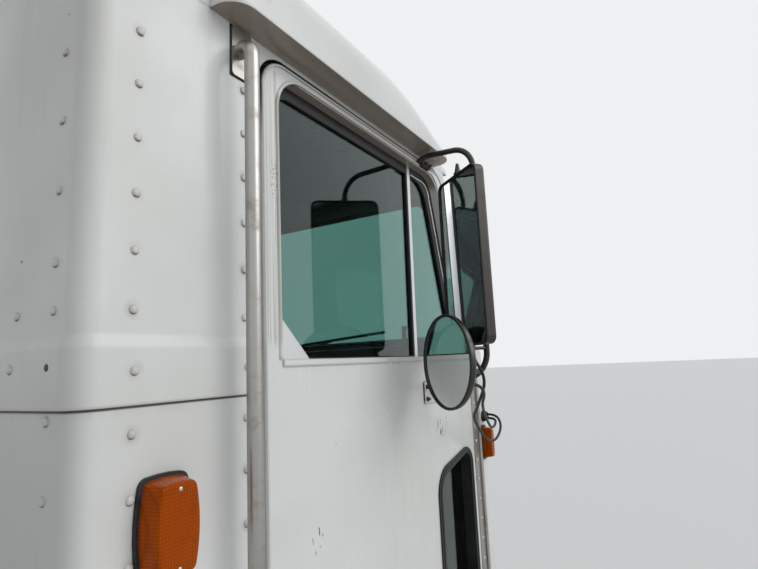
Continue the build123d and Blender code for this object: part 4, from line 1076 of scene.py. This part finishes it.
cranks = {
    "face": 0.8993,
    "crank": (0.150, 0.640),
    "boss": ((0.024, 0.0), (0.024, 0.008), (0.014, 0.016), (0.014, 0.024)),
    "knob": ((0.009, 0.0), (0.012, 0.008), (0.013, 0.022), (0.009, 0.028)),
    "reach": 0.085,
    "drop": 28.0,
    "arm": 0.0062,
    "armDepths": (0.018, 0.014, 0.022),
    "knobSink": 0.004,
    "lever": (-0.215, 0.760),
    "leverEnds": ((-0.048, -0.008), (0.030, 0.010)),
    "leverDepths": (0.012, 0.004),
    "leverBevel": 0.0035,
    "cup": (0.060, 0.024),
    "cupRound": 0.012,
    "cupRim": 0.0042,
}


def crankMeshes(sign):
    x, z = cranks["crank"]
    y = sign * cranks["face"]
    inward = Vector((0, -sign, 0))
    root = Vector((x, y, z))
    swing = math.radians(cranks["drop"])
    rootDepth, middleDepth, tipDepth = cranks["armDepths"]
    tip = root + Vector((math.cos(swing), 0, -math.sin(swing))) * cranks["reach"] + inward * tipDepth
    arm = [root + inward * rootDepth, (root + tip) / 2 + inward * middleDepth, tip]
    meshes = [turned(cranks["boss"], root, inward, 24), sweepTube("arm", arm, cranks["arm"], 10),
              turned(cranks["knob"], tip - inward * cranks["knobSink"], inward, 20)]
    x, z = cranks["lever"]
    width, height = cranks["cup"]
    meshes.append(frameLoop((x, y, z), Vector((width, 0, 0)), Vector((0, 0, height)), cranks["cupRound"],
                            cranks["cupRim"]))
    near, far = sorted(y - sign * depth for depth in cranks["leverDepths"])
    (rear, low), (front, high) = cranks["leverEnds"]
    meshes.append(roundedBox((x + rear, near, z + low), (x + front, far, z + high), cranks["leverBevel"], 3))
    return meshes


for body, sign in doors:
    joined(body + "_crank", crankMeshes(sign), body, "handle_chrome")

roofLamps = {
    "x": 0.210,
    "places": (-0.52, -0.26, 0.0, 0.26, 0.52),
    "radius": 0.0362,
    "thick": 0.0030,
    "above": 2.0,
}
rings = []
for y in roofLamps["places"]:
    # each ring of points is dropped onto the crowned roof from above
    middle = Vector((roofLamps["x"], y, roofLamps["above"]))
    starts = circlePoints(middle, Vector((1, 0, 0)), Vector((0, 1, 0)), roofLamps["radius"], 32)
    ring = [nodes["roof_cap"].ray_cast(start, (0, 0, -1))[1] for start in starts]
    rings.append(loopTube(ring, roofLamps["thick"]))
joined("roofLampGaskets", rings, "cab", "seal_rubber")
print("dash, cranks and gaskets are on")

seats = {
    "slot": "seat_fabric",
    "middle": 0.450,
    "cushion": {
        "box": ((-0.330, -0.236, 0.4030), (0.003, 0.236, 0.490)),
        "channels": (-0.245, -0.165, -0.085),
        "voxel": 0.0062,
        "hold": 0.0034,
        "axes": (2, 0, (0, 1)),
    },
    "back": {
        "box": ((-0.104, -0.236, -0.0025), (-0.016, 0.236, 0.600)),
        "channels": (0.14, 0.26, 0.38, 0.50),
        "voxel": 0.0075,
        "hold": 0.0038,
        "axes": (0, 2, (1, 2)),
    },
    "backFoot": (-0.3423, 0.0, 0.4220),
    "backLean": 12.0,
    "corner": 0.026,
    "pressure": 10.0,
    "frames": 20,
    "cap": 0.024,
    "faceHold": 0.004,
    "seamDrop": 0.020,
    "welt": 0.0036,
    "piping": 0.0021,
    "pipingEnd": 0.026,
}


def blownUp(holder, held):
    # the cloth solver's shape, with each point's way from its rest capped
    mesh = holder.data
    rest = [v.co.copy() for v in mesh.vertices]
    group = holder.vertex_groups.new(name="sewn")
    group.add([i for i, point in enumerate(rest) if held(point)], 1.0, "REPLACE")
    cloth = holder.modifiers.new("cloth", "CLOTH")
    settings = cloth.settings
    settings.use_pressure = True
    settings.uniform_pressure_force = seats["pressure"]
    settings.effector_weights.gravity = 0.0
    settings.vertex_group_mass = "sewn"
    cloth.point_cache.frame_end = seats["frames"]
    for frameNumber in range(1, seats["frames"] + 1):
        scene.frame_set(frameNumber)
    moved = holder.evaluated_get(bpy.context.evaluated_depsgraph_get()).to_mesh()
    for vertex, start, end in zip(mesh.vertices, rest, [v.co.copy() for v in moved.vertices]):
        away = end - start
        vertex.co = start + away * min(1.0, seats["cap"] / max(away.length, 1e-6))
    holder.modifiers.clear()
    scene.frame_set(1)


def puffed(name, low, high, voxel, held):
    # a padded block, blown up between the lines where it is sewn down
    holder = addObject(name, roundedBox(low, high, seats["corner"], 5))
    remesh = holder.modifiers.new("remesh", "REMESH")
    remesh.mode = "VOXEL"
    remesh.voxel_size = voxel
    holder = addObject(name, meshOf(holder))
    blownUp(holder, held)
    divide = holder.modifiers.new("divide", "SUBSURF")
    divide.levels = 1
    return meshOf(holder)


def padMeshes(kind):
    # the pad with the welt round its seam and the piping on its channels; its axes are the one through
    # the pad, the one across the channels and the two that the seam runs along
    given = seats[kind]
    low, high = (Vector(v) for v in given["box"])
    through, across, (first, second) = given["axes"]
    seam = high[through] - seats["seamDrop"]
    hold, skinDepth = given["hold"], seats["faceHold"]

    def held(p):
        if p[through] < low[through] + skinDepth or abs(p[through] - seam) < hold:
            return True
        return p[through] > high[through] - skinDepth and any(abs(p[across] - c) < hold for c in given["channels"])

    pad = puffed(kind + "Pad", low, high, given["voxel"], held)
    corners = []
    for a, b in ((low, low), (high, low), (high, high), (low, high)):
        corner = Vector((seam, seam, seam))
        corner[first], corner[second] = a[first], b[second]
        corners.append(corner)
    meshes = [pad, loopTube(roundedLoop(corners, (seats["corner"],) * 4), seats["welt"])]
    side = high.y - seats["pipingEnd"]
    for channel in given["channels"]:
        line = [Vector((high.x, y, high.z)) for y in (-side, 0, side)]
        for point in line:
            point[across] = channel
        meshes.append(sweepTube("piping", line, seats["piping"], 6))
    return meshes


cushion, back = padMeshes("cushion"), padMeshes("back")
lean = Matrix.Translation(seats["backFoot"]) @ Matrix.Rotation(-math.radians(seats["backLean"]), 4, "Y")
for mesh in back:
    mesh.transform(lean)
for node, meshes in (("seat_cushions", cushion), ("seat_backs", back)):
    for name, y in (("right", -seats["middle"]), ("left", seats["middle"])):
        copies = [mesh.copy() for mesh in meshes]
        for copy in copies:
            copy.transform(Matrix.Translation((0, y, 0)))
        pad = joined(name + node.title().replace("_", ""), copies, "cab", seats["slot"])
        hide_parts(node)
print("seats are padded")

studio = {
    "floorHalf": 60.0,
    "floorColour": (0.78, 0.78, 0.77),
    "floorRough": 0.9,
    "background": (0.86, 0.875, 0.89),
    "light": (0.92, 0.96, 1.0),
    "lightStrength": 0.46,
    "lamps": {"sideKey": ((-0.25, 0.80, -0.55), 1.30, 50.0), "topFill": ((-0.10, -0.15, -1.0), 0.25, 90.0)},
}
half = studio["floorHalf"]
corners = [(-half, -half, 0), (half, -half, 0), (half, half, 0), (-half, half, 0)]
floorMaterial, floorShader, _ = newMaterial("studio_floor")
setShader(floorShader, {"Base Color": studio["floorColour"], "Roughness": studio["floorRough"]})
studioFloor = addObject("studioFloor", meshFrom("studioFloor", corners, [(0, 1, 2, 3)]), floorMaterial, smooth=False)

world = bpy.data.worlds.new("studio")
scene.world = world
world.use_nodes = True
worldTree = world.node_tree
light = worldTree.nodes["Background"]
light.inputs["Color"].default_value = (*studio["light"], 1.0)
light.inputs["Strength"].default_value = studio["lightStrength"]
start = Wire(worldTree)
seen = start.node("ShaderNodeBackground", None, {"Color": (*studio["background"], 1.0)})
path = worldTree.nodes.new("ShaderNodeLightPath")
rays = [Wire(worldTree, path.outputs["Is " + kind + " Ray"]) for kind in ("Camera", "Glossy", "Transmission")]
direct = rays[0].larger(rays[1]).larger(rays[2])
mixed = start.node("ShaderNodeMixShader", None, {0: direct, 1: Wire(worldTree, light.outputs[0]), 2: seen})
worldTree.links.new(mixed.socket, worldTree.nodes["World Output"].inputs["Surface"])

for name, (direction, strength, spread) in studio["lamps"].items():
    data = bpy.data.lights.new(name, "SUN")
    data.angle = math.radians(spread)
    data.energy = strength
    lamp = bpy.data.objects.new(name, data)
    lamp.rotation_euler = Vector(direction).to_track_quat("-Z", "Y").to_euler()
    scene.collection.objects.link(lamp)
print("studio is lit")
